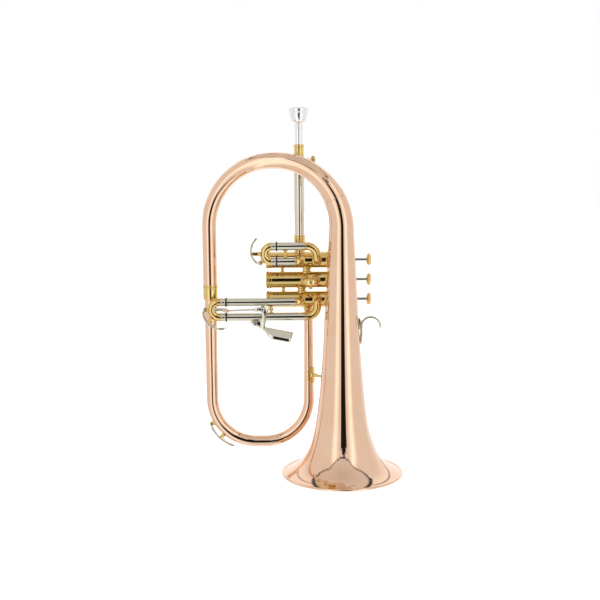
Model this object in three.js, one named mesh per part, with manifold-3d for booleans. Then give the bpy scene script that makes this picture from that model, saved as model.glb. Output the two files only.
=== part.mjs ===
// A B-flat flugelhorn standing on its bell rim. Millimetres, +Z up.
// While it is drawn, the bell rim lies in z = 0, the valves lie along X in the plane y = 0, and the bell stands
// in front of them on the line x = 0, y = BELL_Y. At the end the group is moved so that its origin is the middle
// of the bottom of its box.
import * as THREE from "three";
import { mergeVertices } from "three/addons/utils/BufferGeometryUtils.js";
import Module from "manifold-3d";

// ---- driving dimensions ----
const GAP = 0.3; // clearance between pieces that touch

// bell
const BELL_Y = -36;
const RIM_RADIUS = 77;
const RIM_BEAD = 2.95; // height of the wired edge
const RIM_LAND = 1.6; // width of the flat that the rim stands on
const SHEET_RADIUS = RIM_RADIUS - 0.8; // radius of the bell's sheet where it enters the bead
const FLARE_LIFT = 1.2; // height at which the sheet enters the bead
const BELL_THROAT = 27.12; // radius that the stem's taper aims at in the rim plane
const BELL_TAPER = 0.0408; // loss of radius per millimetre of height
const FLARE_DEPTH = 28.92; // how far up the flare reaches
const FLARE_POWER = 1.5;
const BELL_WALL = 0.9;
const BELL_STEM = 313; // height at which the bell starts to bend into the rear bow
const SEAM_ANGLE = 25; // degrees of the rear bow that belong to the bell

// rear bow and front bow
const BRANCH_X = -166.7; // left branch
const BOW_RADIUS = 83; // bend radius of the rear bow
const BRANCH_RADIUS = 9; // the branch's outside radius above the ferrule
const BOW_DECAY = 66; // length over which the bow's radius shrinks
const TUBE_WALL = 0.8;
const FERRULE_BOTTOM = 220;
const FERRULE_TOP = 239;
const FERRULE_RADIUS = 9.3;
const FERRULE_DEPTH = 9; // how far the front bow goes into the ferrule
const FRONT_BOW_BOTTOM = 32.8; // height of the centreline
const FRONT_BOW_BEND = 56.7;
const FRONT_BOW_END_X = -41.4; // right branch, which ends in valve 3
const FRONT_BOW_RADII = { start: 7.9, down: 7.6, bottom: 7.15, up: 6.75, brace: 6.2, end: 5.6 };

// valves
const CASING_RADIUS = 10.4;
const CASING_SPACE = 4.6; // between neighbouring casings
const VALVE_SPACING = 2 * CASING_RADIUS + CASING_SPACE; // 25.4
const MIDDLE_VALVE_Z = 244.7;
const CASING_WALL = 1.7;
const CASING_BOTTOM = -90.8;
const CASING_TOP = 4;
const CAP_HEIGHT = 4.4; // bottom cap outside the casing
const CAP_RADIUS = CASING_RADIUS + 0.5;
const CAP_PLUG = 4; // cap inside the casing
const TOP_CAP_HEIGHT = 8.7;
const TOP_CAP_RADIUS = CASING_RADIUS + 0.8;
const STEM_RADIUS = 1.9;
const STEM_HOLE = 2.5;
const PISTON_LENGTH = 61;
const STROKE = 16.5;
const BUTTON_BACK = 32.6;
const BUTTON_THICKNESS = 6.3;
const BUTTON_RADIUS = 7.9;
const SPRING_RADIUS = 6.2;
const SPRING_WIRE = 0.55;
const SPRING_TURNS = 5;
const PORT_BORE = 4.2;
const PASSAGE_BORE = 4;
const CROSSOVER_RADIUS = 5.3;
const CROSSOVER_X = [-43.1, -49.7]; // from valve 1 to 2, from valve 2 to 3
const SPACER_X = [-74.2, -73];
const SPACER_RADIUS = 2.4;

// leadpipe and mouthpiece
const LEADPIPE_X = -52;
const SOCKET_TOP = 301.7;
const SOCKET_RADIUS = 7;
const SLEEVE_RADIUS = 6.25;
const SLEEVE_BORE = 5.4;
const SLEEVE_BOTTOM = 290.3;
const COLLAR_BOTTOM = 388.3;
const COLLAR_TOP = 400.3;
const COLLAR_RADIUS = 7.3;
const LEADPIPE_RADIUS = 5.1;
const LEADPIPE_BORE = 4.5;
const LEADPIPE_BOTTOM = 294;
const RECEIVER_TOP = 415.8;
const RECEIVER_RADIUS = 6.65;
const MOUTHPIECE_TOP = 461.4;
const MOUTHPIECE_RADIUS = 13;
const SHANK_DEPTH = 18.8; // shank inside the receiver
const SCREW_HEIGHT = 395.5;
const SCREW_KNOB_X = [-37, -31.5];
const SCREW_KNOB_RADIUS = 5.5;

// slides
const SLIDE_Y = -18;
const LEG_RADIUS = 5.3; // outer legs
const LEG_BORE = 4.75;
const INNER_RADIUS = 4.45; // legs of the crook
const INNER_BORE = 3.9;
const CROOK_RADIUS = 5.15;
const BEAD_RADIUS = 6.3; // bead at the mouth of each outer leg
const BEAD_WIDTH = 1.4;
const COLLAR_WIDTH = 6.5; // wide collar of the crook, outside the legs
const BEND_RADIUS = 13; // bend from a leg towards the valve
const KNUCKLE_RADIUS = 5.6; // tight bend into a valve
const FIRST_SLIDE = { low: 269.8, high: 289.1, mouth: -81.5, centre: -87 };
const THIRD_SLIDE = { low: 199.5, high: 218.6, mouth: -145.9, centre: -154.6 };
const KNUCKLE_X = -51.4; // where the knuckles enter valves 1 and 3
const BEND_X = -30; // where the long bends enter valves 1 and 3
const INNER_END = -60; // right ends of both crooks' legs
const SECOND_PORTS_X = [-45.2, -31.8];
const SECOND_PORT_LENGTH = 7;
const STAY_RADIUS = 2.2;
const FIRST_STAY_X = -70;
const THIRD_STAY_X = -88.7;

// trigger of the third slide
const TRIGGER_PIVOT = { x: -108.4, z: 191.9 };
const TRIGGER_PIN = { x: -99, z: 210.6 };
const TRIGGER_RANGE = 22; // degrees
const TRIGGER_RATIO = 20; // millimetres of slide per radian of lever
const LEVER_FACE_Y = -24.6; // back of the lever, just in front of the legs
const LEVER_THICKNESS = 1.8;
const PIN_RADIUS = 1.1;
const ROD_RADIUS = 1.1;
const ROD_Y = -29;
const ROD_JOINT_X = -147.5;
const PADDLE_LENGTH = 37;
const PADDLE_RADIUS = 11;
const PADDLE_WALL = 1.5;
const PADDLE_TILT = 11; // degrees below level

// water keys
const KEY_WIDTH = 5;
const KEY_THICKNESS = 1.1;
const KEY_PIVOT_RADIUS = 1.5;
const NIPPLE_RADIUS = 2.6;
const EAR_RADIUS = 0.9;

// little finger hook
const HOOK_WIDTH = 7;
const HOOK_THICKNESS = 2.6;
const HOOK_RADIUS = 13;
const HOOK_FOOT = 168;
const HOOK_RISE = 21.5; // from the hook's foot to the middle of its arch

// braces
const BRACE_ANGLE = 150; // where the leaves lie round the bell, degrees anticlockwise from +X
const BRACE_HALF_WIDTH = 9;
const BRACE_Z = 121;
const BRACE_PLATE = 1; // thickness of the leaves and the saddle
const BRACE_RADIUS = 2; // posts
const SADDLE_HALF_HEIGHT = 10.8;

// facets round each size of tube
const SIDES = { bell: 32, bow: 16, valve: 16, tube: 10, small: 8 };

// ---- colours ----
const ROSE_BRASS = { color: 0xd09a7c, roughness: 0.14, metalness: 1 };
const YELLOW_BRASS = { color: 0xcfa84e, roughness: 0.16, metalness: 1 };
const NICKEL_SILVER = { color: 0xc6c2ae, roughness: 0.16, metalness: 1 };
const SILVER_PLATE = { color: 0xe6e6e4, roughness: 0.08, metalness: 1 };
const SATIN_STEEL = { color: 0x9c9c96, roughness: 0.35, metalness: 1 };

// ---- solids ----
const wasm = await Module();
wasm.setup();
const instrument = new THREE.Group();
const X = new THREE.Vector3(1, 0, 0);
const Y = new THREE.Vector3(0, 1, 0);
const Z = new THREE.Vector3(0, 0, 1);
const at = (x, y, z) => new THREE.Vector3(x, y, z);

function add(name, geometry, finish) {
  const mesh = new THREE.Mesh(geometry, new THREE.MeshStandardMaterial(finish));
  mesh.name = name;
  instrument.add(mesh);
}

function solidFrom(geometry) {
  const bare = geometry.clone();
  bare.deleteAttribute("normal");
  bare.deleteAttribute("uv");
  const merged = mergeVertices(bare, 1e-4);
  return new wasm.Manifold(
    new wasm.Mesh({
      numProp: 3,
      vertProperties: merged.attributes.position.array,
      triVerts: new Uint32Array(merged.index.array),
    }),
  );
}

function geometryFrom(solid) {
  const mesh = solid.getMesh();
  const geometry = new THREE.BufferGeometry();
  geometry.setAttribute("position", new THREE.BufferAttribute(mesh.vertProperties, 3));
  geometry.setIndex(new THREE.BufferAttribute(mesh.triVerts, 1));
  return geometry;
}

function joined(...geometries) {
  return geometryFrom(geometries.map(solidFrom).reduce((sum, next) => sum.add(next)));
}

function cut(geometry, ...tools) {
  return geometryFrom(tools.map(solidFrom).reduce((rest, tool) => rest.subtract(tool), solidFrom(geometry)));
}

function common(a, b) {
  return geometryFrom(solidFrom(a).intersect(solidFrom(b)));
}

// A solid turned round an axis: rows are [distance along the axis, radius], from one end to the other.
function turned(start, direction, rows, sides) {
  const profile = rows.map(([along, radius]) => new THREE.Vector2(radius, along));
  if (profile[0].x > 0) profile.unshift(new THREE.Vector2(0, profile[0].y));
  if (profile.at(-1).x > 0) profile.push(new THREE.Vector2(0, profile.at(-1).y));
  const turn = new THREE.Quaternion().setFromUnitVectors(Y, direction);
  return new THREE.LatheGeometry(profile, sides).applyQuaternion(turn).translate(...start);
}

// The same with a bore: both lists run from the first end to the last.
function hollow(start, direction, outside, inside, sides) {
  const profile = [...outside, ...inside.toReversed(), outside[0]];
  const turn = new THREE.Quaternion().setFromUnitVectors(Y, direction);
  const outline = profile.map(([along, radius]) => new THREE.Vector2(radius, along));
  const lathe = new THREE.LatheGeometry(outline, sides);
  return lathe.applyQuaternion(turn).translate(...start);
}

function rod(start, end, radius, sides = SIDES.small) {
  const way = end.clone().sub(start);
  const length = way.length();
  return turned(start, way.normalize(), [[0, radius], [length, radius]], sides);
}

function block(from, to) {
  const size = to.clone().sub(from);
  const box = new THREE.BoxGeometry(size.x, size.y, size.z);
  return box.translate(from.x + size.x / 2, from.y + size.y / 2, from.z + size.z / 2);
}

// A plate whose outline lies in an XZ plane, from y = back towards -Y.
function plate(outline, back, thickness) {
  const extruded = new THREE.ExtrudeGeometry(outline, { depth: thickness, bevelEnabled: false, curveSegments: 8 });
  return extruded.rotateX(Math.PI / 2).translate(0, back, 0);
}

// A route of straight lines and arcs that a tube follows. Each arc turns the heading about an axis.
class Route {
  constructor(start, heading) {
    this.point = start.clone();
    this.turn = new THREE.Quaternion().setFromUnitVectors(Y, heading);
    this.pieces = [];
    this.stops = [];
    this.length = 0;
  }

  line(length) {
    this.pieces.push({ from: this.length, length, point: this.point.clone(), turn: this.turn.clone() });
    return this.advance(length);
  }

  arc(radius, degrees, axis, steps = 6) {
    const length = radius * THREE.MathUtils.degToRad(degrees);
    this.pieces.push({ from: this.length, length, point: this.point.clone(), turn: this.turn.clone(), radius, axis });
    for (let step = 0; step <= steps; step++) this.stops.push(this.length + (length * step) / steps);
    return this.advance(length);
  }

  advance(length) {
    this.length += length;
    const end = this.at(this.length);
    this.point = end.point;
    this.turn = end.turn;
    return this;
  }

  at(distance) {
    const piece = this.pieces.findLast((p) => p.from <= distance) ?? this.pieces[0];
    const along = distance - piece.from;
    const heading = Y.clone().applyQuaternion(piece.turn);
    if (!piece.radius) {
      return { point: piece.point.clone().addScaledVector(heading, along), turn: piece.turn.clone() };
    }
    const toCentre = piece.axis.clone().cross(heading).multiplyScalar(piece.radius);
    const spin = new THREE.Quaternion().setFromAxisAngle(piece.axis, along / piece.radius);
    const point = piece.point.clone().add(toCentre).sub(toCentre.applyQuaternion(spin));
    return { point, turn: spin.multiply(piece.turn) };
  }
}

// Adds a row to a profile at every stop that lies between two of its rows.
function withStops(rows, stops) {
  return rows.flatMap(([along, radius], index) => {
    const next = rows[index + 1];
    if (!next) return [[along, radius]];
    const between = stops.filter((stop) => stop > along + 1e-3 && stop < next[0] - 1e-3);
    const blend = (stop) => radius + ((next[1] - radius) * (stop - along)) / (next[0] - along);
    return [[along, radius], ...between.map((stop) => [stop, blend(stop)])];
  });
}

// A straight turned tube whose axis is then laid along a route.
function bentTube(route, outside, inside, sides = SIDES.tube) {
  const tube = hollow([0, 0, 0], Y, withStops(outside, route.stops), withStops(inside, route.stops), sides);
  const position = tube.attributes.position;
  for (let index = 0; index < position.count; index++) {
    const { point, turn } = route.at(position.getY(index));
    const offset = at(position.getX(index), 0, position.getZ(index)).applyQuaternion(turn);
    position.setXYZ(index, ...point.add(offset));
  }
  return tube;
}

// ---- bell, rear bow, ferrule, front bow ----
const bowSpan = Math.hypot(BRANCH_X, BELL_Y);
const bowFlat = bowSpan - 2 * BOW_RADIUS;
const towardsBranch = at(BRANCH_X, -BELL_Y, 0).divideScalar(bowSpan);
const bowAxis = Z.clone().cross(towardsBranch);
const bellRoute = new Route(at(0, BELL_Y, 0), Z)
  .line(BELL_STEM)
  .arc(BOW_RADIUS, 90, bowAxis, 7)
  .line(bowFlat)
  .arc(BOW_RADIUS, 90, bowAxis, 7)
  .line(BELL_STEM - FERRULE_TOP - GAP);
const seam = BELL_STEM + BOW_RADIUS * THREE.MathUtils.degToRad(SEAM_ANGLE);

// Outside radius of the bell's sheet at a height above the line where it enters the bead.
function bellRadius(height) {
  const flare = (SHEET_RADIUS - BELL_THROAT) / (1 + height / FLARE_DEPTH) ** FLARE_POWER;
  return BELL_THROAT - BELL_TAPER * height + flare;
}

function bellSlope(height) {
  const flare = (SHEET_RADIUS - BELL_THROAT) / FLARE_DEPTH;
  return -BELL_TAPER - (FLARE_POWER * flare) / (1 + height / FLARE_DEPTH) ** (FLARE_POWER + 1);
}

const bellHeights = [2.4, 5, 9, 15, 23, 34, 50, 75, 115, 180, 260, seam];
const bellOutside = [
  [0, SHEET_RADIUS - RIM_LAND],
  [0, SHEET_RADIUS],
  [0.6, RIM_RADIUS - 0.1],
  [RIM_BEAD / 2, RIM_RADIUS],
  [RIM_BEAD, RIM_RADIUS - 1.3],
  [RIM_BEAD - 0.1, RIM_RADIUS - 2.4],
  ...bellHeights.map((height) => [height, bellRadius(height - FLARE_LIFT)]),
];
// The inside is the outside moved in by the wall, square to the sheet, except at the seam, where the end is level.
const bellInside = bellHeights.map((height) => {
  const slope = height === seam ? 0 : bellSlope(height - FLARE_LIFT);
  const inwards = BELL_WALL / Math.hypot(1, slope);
  return [height + inwards * slope, bellRadius(height - FLARE_LIFT) - inwards];
});
add("bell", bentTube(bellRoute, bellOutside, bellInside, SIDES.bell), ROSE_BRASS);

function bowRadius(distance) {
  const start = bellRadius(seam - FLARE_LIFT) - BRANCH_RADIUS;
  return BRANCH_RADIUS + start * Math.exp(-(distance - seam) / BOW_DECAY);
}
const bowStops = [seam + GAP, ...bellRoute.stops.filter((stop) => stop > seam + 1), bellRoute.length];
const bowOutside = bowStops.map((stop) => [stop, bowRadius(stop)]);
const bowInside = bowStops.map((stop) => [stop, bowRadius(stop) - TUBE_WALL]);
add("rear_bow", bentTube(bellRoute, bowOutside, bowInside, SIDES.bow), ROSE_BRASS);

const ferruleLength = FERRULE_TOP - FERRULE_BOTTOM;
const ferruleBore = FRONT_BOW_RADII.start + GAP;
const ferruleStop = FERRULE_DEPTH + GAP;
add(
  "bow_ferrule",
  hollow(
    at(BRANCH_X, 0, FERRULE_BOTTOM),
    Z,
    [
      [0, FERRULE_RADIUS],
      [ferruleLength - 4.2, FERRULE_RADIUS],
      [ferruleLength - 3.6, FERRULE_RADIUS + 0.6],
      [ferruleLength - 2.4, FERRULE_RADIUS + 0.6],
      [ferruleLength - 2, FERRULE_RADIUS],
      [ferruleLength - 1.4, FERRULE_RADIUS + 0.6],
      [ferruleLength, FERRULE_RADIUS + 0.5],
    ],
    [
      [0, ferruleBore],
      [ferruleStop, ferruleBore],
      [ferruleStop, ferruleBore - 1.1],
      [ferruleLength, ferruleBore - 1.1],
    ],
    SIDES.bow,
  ),
  YELLOW_BRASS,
);

const valveZ = [MIDDLE_VALVE_Z + VALVE_SPACING, MIDDLE_VALVE_Z, MIDDLE_VALVE_Z - VALVE_SPACING];
const frontBowTop = FERRULE_BOTTOM + FERRULE_DEPTH;
const bendHeight = FRONT_BOW_BOTTOM + FRONT_BOW_BEND;
const frontBowFlat = FRONT_BOW_END_X - BRANCH_X - 2 * FRONT_BOW_BEND;
const frontRoute = new Route(at(BRANCH_X, 0, frontBowTop), Z.clone().negate())
  .line(frontBowTop - bendHeight)
  .arc(FRONT_BOW_BEND, 90, Y.clone().negate(), 6)
  .line(frontBowFlat)
  .arc(FRONT_BOW_BEND, 90, Y.clone().negate(), 6)
  .line(valveZ[2] - bendHeight);
const quarterBend = (Math.PI / 2) * FRONT_BOW_BEND;
const frontRows = (wall) => [
  [0, FRONT_BOW_RADII.start - wall],
  [frontBowTop - 176, FRONT_BOW_RADII.start - wall],
  [frontBowTop - 152, FRONT_BOW_RADII.down - wall],
  [frontBowTop - bendHeight, FRONT_BOW_RADII.down - wall],
  [frontBowTop - bendHeight + quarterBend + frontBowFlat / 2, FRONT_BOW_RADII.bottom - wall],
  [frontBowTop - bendHeight + 2 * quarterBend + frontBowFlat, FRONT_BOW_RADII.up - wall],
  [frontRoute.length - (valveZ[2] - BRACE_Z), FRONT_BOW_RADII.brace - wall],
  [frontRoute.length, FRONT_BOW_RADII.end - wall],
];

// ---- valves ----
const casingTool = (valve) =>
  rod(at(CASING_BOTTOM - 9, 0, valveZ[valve]), at(CASING_TOP + 9, 0, valveZ[valve]), CASING_RADIUS + GAP, 24);
const down = Z.clone().negate();
const near = Y.clone().negate();
// Ports of each valve: [x, side].
const ports = [
  [[LEADPIPE_X, Z], [CROSSOVER_X[0], down], [KNUCKLE_X, near], [BEND_X, near]],
  [[CROSSOVER_X[0], Z], [CROSSOVER_X[1], down], [SECOND_PORTS_X[0], near], [SECOND_PORTS_X[1], near]],
  [[CROSSOVER_X[1], Z], [FRONT_BOW_END_X, down], [KNUCKLE_X, near], [BEND_X, near]],
];
const pistonTop = CASING_TOP - CAP_PLUG - GAP;
const pistonBottom = pistonTop - PISTON_LENGTH;
const boreRadius = CASING_RADIUS - CASING_WALL;
const pistonRadius = boreRadius - GAP;

// A passage through a piston, from one side of it to another.
function passage(valve, fromX, fromSide, toX, toSide) {
  const middle = at((fromX + toX) / 2, 0, valveZ[valve]);
  const end = (x, side) => at(x, 0, valveZ[valve]).addScaledVector(side, CASING_RADIUS);
  return joined(rod(middle, end(fromX, fromSide), PASSAGE_BORE), rod(middle, end(toX, toSide), PASSAGE_BORE));
}

function valveSpring(valve) {
  const from = CASING_BOTTOM + CAP_PLUG + GAP + SPRING_WIRE;
  const pitch = (pistonBottom - GAP - SPRING_WIRE - from) / SPRING_TURNS;
  class Coil extends THREE.Curve {
    getPoint(t, target = new THREE.Vector3()) {
      const angle = t * SPRING_TURNS * 2 * Math.PI;
      const y = SPRING_RADIUS * Math.cos(angle);
      const z = valveZ[valve] + SPRING_RADIUS * Math.sin(angle);
      return target.set(from + t * SPRING_TURNS * pitch, y, z);
    }
  }
  const corners = [[1, 0], [0, 1], [-1, 0], [0, -1]].map(([u, v]) => new THREE.Vector2(u, v));
  const section = new THREE.Shape(corners.map((corner) => corner.multiplyScalar(SPRING_WIRE)));
  const steps = SPRING_TURNS * 7;
  return new THREE.ExtrudeGeometry(section, { steps, extrudePath: new Coil(), bevelEnabled: false });
}

for (const valve of [0, 1, 2]) {
  const number = valve + 1;
  const start = at(CASING_BOTTOM, 0, valveZ[valve]);
  const length = CASING_TOP - CASING_BOTTOM;
  const tube = hollow(start, X, [[0, CASING_RADIUS], [length, CASING_RADIUS]],
    [[0, boreRadius], [length, boreRadius]], SIDES.valve);
  const holes = ports[valve].map(([x, side]) => {
    const centre = at(x, 0, valveZ[valve]);
    return rod(centre.clone().addScaledVector(side, 5), centre.addScaledVector(side, 14), PORT_BORE);
  });
  add(`valve_casing_${number}`, cut(tube, ...holes), YELLOW_BRASS);

  const capFoot = [[0, 2.5], [0, CAP_RADIUS - 0.8], [0.8, CAP_RADIUS], [CAP_HEIGHT - GAP, CAP_RADIUS]];
  const plug = [[CAP_HEIGHT - GAP, boreRadius - GAP], [CAP_HEIGHT + CAP_PLUG, boreRadius - GAP]];
  const capBore = [[0, 2.5], [2, 2.5], [2, 7], [CAP_HEIGHT + CAP_PLUG, 7]];
  add(`bottom_cap_${number}`, hollow(at(CASING_BOTTOM - CAP_HEIGHT, 0, valveZ[valve]), X,
    [...capFoot, ...plug], capBore, SIDES.valve), YELLOW_BRASS);

  const collar = [[-CAP_PLUG, boreRadius - GAP], [GAP, boreRadius - GAP], [GAP, TOP_CAP_RADIUS]];
  const dome = [[5, TOP_CAP_RADIUS], [6, TOP_CAP_RADIUS - 1.6], [8, 7.4], [TOP_CAP_HEIGHT, 6.2]];
  add(`top_cap_${number}`, hollow(at(CASING_TOP, 0, valveZ[valve]), X, [...collar, ...dome],
    [[-CAP_PLUG, STEM_HOLE], [TOP_CAP_HEIGHT, STEM_HOLE]], SIDES.valve), YELLOW_BRASS);

  const [[inX, inSide], [outX, outSide], [legA, sideA], [legB, sideB]] = ports[valve];
  const body = rod(at(pistonBottom, 0, valveZ[valve]), at(pistonTop, 0, valveZ[valve]), pistonRadius, SIDES.valve);
  const [firstLeg, lastLeg] = valve === 1 ? [legB, legA] : [legA, legB];
  add(`piston_${number}`, cut(body,
    passage(valve, inX, inSide, outX, outSide),
    passage(valve, inX + STROKE, inSide, firstLeg + STROKE, sideA),
    passage(valve, lastLeg + STROKE, sideB, outX + STROKE, outSide)), NICKEL_SILVER);

  const stem = rod(
    at(pistonTop + GAP, 0, valveZ[valve]), at(BUTTON_BACK - GAP, 0, valveZ[valve]), STEM_RADIUS, SIDES.tube,
  );
  add(`valve_stem_${number}`, stem, SATIN_STEEL);
  add(`finger_button_${number}`, turned(at(BUTTON_BACK, 0, valveZ[valve]), X, [
    [0, 3.4], [1, 3.8], [1.8, 6.8], [2.8, BUTTON_RADIUS], [4.4, BUTTON_RADIUS],
    [5.6, 6.8], [5.9, 5.6], [BUTTON_THICKNESS - 0.2, 5.4], [BUTTON_THICKNESS - 0.2, 4.9], [BUTTON_THICKNESS - 0.5, 0],
  ], SIDES.tube), YELLOW_BRASS);
  add(`valve_spring_${number}`, valveSpring(valve), SATIN_STEEL);
}

for (const gap of [0, 1]) {
  const names = `${gap + 1}${gap + 2}`;
  const top = valveZ[gap];
  const height = VALVE_SPACING;
  const tube = hollow(at(CROSSOVER_X[gap], 0, top), down, [[0, CROSSOVER_RADIUS], [height, CROSSOVER_RADIUS]],
    [[0, PORT_BORE], [height, PORT_BORE]], SIDES.tube);
  add(`crossover_tube_${names}`, cut(tube, casingTool(gap), casingTool(gap + 1)), YELLOW_BRASS);
  const post = rod(at(SPACER_X[gap], 0, top), at(SPACER_X[gap], 0, top - height), SPACER_RADIUS);
  add(`casing_spacer_${names}`, cut(post, casingTool(gap), casingTool(gap + 1)), YELLOW_BRASS);
}

// ---- leadpipe and mouthpiece ----
const leadpipeFrom = (z) => at(LEADPIPE_X, 0, z);
const socketLength = SOCKET_TOP - valveZ[0];
const sleeveSeat = SLEEVE_BOTTOM - GAP - valveZ[0];
const socket = hollow(leadpipeFrom(valveZ[0]), Z,
  [[0, SOCKET_RADIUS - 1], [15, SOCKET_RADIUS - 1], [16, SOCKET_RADIUS], [socketLength, SOCKET_RADIUS]],
  [[0, PORT_BORE], [sleeveSeat, PORT_BORE], [sleeveSeat, SLEEVE_RADIUS + GAP], [socketLength, SLEEVE_RADIUS + GAP]],
  SIDES.tube);
add("leadpipe_socket", cut(socket, casingTool(0)), YELLOW_BRASS);

const sleeveLength = COLLAR_BOTTOM - GAP - SLEEVE_BOTTOM;
add("tuning_sleeve", hollow(leadpipeFrom(SLEEVE_BOTTOM), Z, [[0, SLEEVE_RADIUS], [sleeveLength, SLEEVE_RADIUS]],
  [[0, SLEEVE_BORE], [sleeveLength, SLEEVE_BORE]], SIDES.tube), NICKEL_SILVER);

const collarLength = COLLAR_TOP - COLLAR_BOTTOM;
const collar = hollow(leadpipeFrom(COLLAR_BOTTOM), Z,
  [[0, COLLAR_RADIUS - 0.4], [0.6, COLLAR_RADIUS], [collarLength - 0.6, COLLAR_RADIUS],
    [collarLength, COLLAR_RADIUS - 0.4]],
  [[0, SLEEVE_BORE], [collarLength, SLEEVE_BORE]], SIDES.tube);
const bossEnd = SCREW_KNOB_X[0] - 1.5;
const boss = rod(at(LEADPIPE_X + COLLAR_RADIUS - 1, 0, SCREW_HEIGHT), at(bossEnd, 0, SCREW_HEIGHT), 3);
const screwEnd = LEADPIPE_X + LEADPIPE_RADIUS + GAP;
const screwHole = rod(at(LEADPIPE_X + 2, 0, SCREW_HEIGHT), at(bossEnd + 5, 0, SCREW_HEIGHT), 1.8);
add("sleeve_collar", cut(joined(collar, boss), screwHole), YELLOW_BRASS);
add("thumb_screw", turned(at(screwEnd, 0, SCREW_HEIGHT), X, [
  [0, 1.4], [SCREW_KNOB_X[0] - screwEnd, 1.4], [SCREW_KNOB_X[0] - screwEnd, SCREW_KNOB_RADIUS - 1],
  [SCREW_KNOB_X[0] - screwEnd + 1, SCREW_KNOB_RADIUS], [SCREW_KNOB_X[1] - screwEnd - 1, SCREW_KNOB_RADIUS],
  [SCREW_KNOB_X[1] - screwEnd, SCREW_KNOB_RADIUS - 1],
], SIDES.tube), YELLOW_BRASS);

const leadpipeLength = COLLAR_TOP - LEADPIPE_BOTTOM;
add("leadpipe", hollow(leadpipeFrom(LEADPIPE_BOTTOM), Z, [[0, LEADPIPE_RADIUS], [leadpipeLength, LEADPIPE_RADIUS]],
  [[0, LEADPIPE_BORE], [leadpipeLength, LEADPIPE_BORE]], SIDES.tube), NICKEL_SILVER);

const receiverBottom = COLLAR_TOP + GAP;
const receiverLength = RECEIVER_TOP - receiverBottom;
const shankTop = 4.7;
const shankTip = 4.1;
add("mouthpiece_receiver", hollow(leadpipeFrom(receiverBottom), Z,
  [[0, RECEIVER_RADIUS - 0.5], [1, RECEIVER_RADIUS], [receiverLength - 1, RECEIVER_RADIUS],
    [receiverLength, RECEIVER_RADIUS - 0.5]],
  [[0, LEADPIPE_BORE + 0.15], [receiverLength, shankTop + GAP]], SIDES.tube), YELLOW_BRASS);

const shankStart = RECEIVER_TOP - SHANK_DEPTH;
const cupTop = MOUTHPIECE_TOP - shankStart;
add("mouthpiece", hollow(leadpipeFrom(shankStart), Z,
  [
    [0, shankTip], [SHANK_DEPTH, shankTop], [cupTop - 25.5, 4.9], [cupTop - 19.5, 5.9], [cupTop - 18, 6],
    [cupTop - 14, 8.4], [cupTop - 9, 10.7], [cupTop - 6, 11.6], [cupTop - 5, 12.6],
    [cupTop - 3, MOUTHPIECE_RADIUS], [cupTop - 1, MOUTHPIECE_RADIUS - 0.3], [cupTop, 11.8],
  ],
  [
    [0, 3.2], [cupTop - 22, 1.9], [cupTop - 16, 2.6], [cupTop - 8, 7.2],
    [cupTop - 2, 8.5], [cupTop - 0.4, 8.9], [cupTop, 9.6],
  ], SIDES.valve), SILVER_PLATE);

// ---- valve slides ----
// Outside and bore of an outer leg: a bead at its mouth, the straight part, then the narrower bend.
const legOutside = (straight, length) => [
  [0, BEAD_RADIUS], [BEAD_WIDTH, BEAD_RADIUS], [BEAD_WIDTH, LEG_RADIUS], [straight, LEG_RADIUS],
  [straight + 0.5, CROOK_RADIUS], [length, CROOK_RADIUS],
];
const legBore = (seat, length) => [[0, LEG_BORE], [seat, LEG_BORE], [seat + 0.5, PORT_BORE], [length, PORT_BORE]];

// An outer leg that ends in a wide bend and turns into the front of its valve.
function longLeg(slide, height, towards, valve) {
  const straight = BEND_X - BEND_RADIUS - slide.mouth;
  const turnAxis = X.clone().cross(towards);
  const drop = Math.abs(valveZ[valve] - height) - BEND_RADIUS - KNUCKLE_RADIUS;
  const route = new Route(at(slide.mouth, SLIDE_Y, height), X)
    .line(straight)
    .arc(BEND_RADIUS, 90, turnAxis, 4)
    .line(Math.max(drop, 0))
    .arc(KNUCKLE_RADIUS, 90, towards.clone().cross(Y), 3)
    .line(-SLIDE_Y - KNUCKLE_RADIUS);
  const tube = bentTube(route, legOutside(straight - 3, route.length), legBore(straight - 3, route.length));
  return cut(tube, casingTool(valve));
}

// An outer leg that ends in a tight knuckle and turns into the front of its valve.
function shortLeg(slide, height, valve) {
  const straight = KNUCKLE_X - KNUCKLE_RADIUS - slide.mouth;
  const route = new Route(at(slide.mouth, SLIDE_Y, height), X)
    .line(straight)
    .arc(KNUCKLE_RADIUS, 90, Z, 3)
    .line(-SLIDE_Y - KNUCKLE_RADIUS);
  const tube = bentTube(route, legOutside(straight - 1.5, route.length), legBore(straight - 1.5, route.length));
  return cut(tube, casingTool(valve));
}

// The crook that pulls out: two inner legs, a collar on each, and the bend.
function slideCrook(slide) {
  const straight = INNER_END - slide.centre;
  const bend = (slide.high - slide.low) / 2;
  const route = new Route(at(INNER_END, SLIDE_Y, slide.low), X.clone().negate())
    .line(straight)
    .arc(bend, 180, Y, 8)
    .line(straight);
  const collarStart = INNER_END - slide.mouth + GAP;
  const collarEnd = collarStart + COLLAR_WIDTH - 0.6;
  const half = [
    [0, INNER_RADIUS], [collarStart, INNER_RADIUS], [collarStart, LEG_RADIUS], [collarEnd, LEG_RADIUS],
    [collarEnd + 0.3, CROOK_RADIUS],
  ];
  const mirror = half.map(([along, radius]) => [route.length - along, radius]).reverse();
  return bentTube(route, [...half, ...mirror], [[0, INNER_BORE], [route.length, INNER_BORE]]);
}

function slideStay(x, slide) {
  const reach = LEG_RADIUS + GAP;
  const middle = (slide.low + slide.high) / 2;
  const half = (slide.high - slide.low) / 2 - reach;
  return turned(at(x, SLIDE_Y, slide.low + reach), Z, [
    [0, STAY_RADIUS], [half - 1.5, STAY_RADIUS - 0.7], [half - 1, STAY_RADIUS], [half + 1, STAY_RADIUS],
    [half + 1.5, STAY_RADIUS - 0.7], [2 * half, STAY_RADIUS],
  ], SIDES.small);
}

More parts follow.
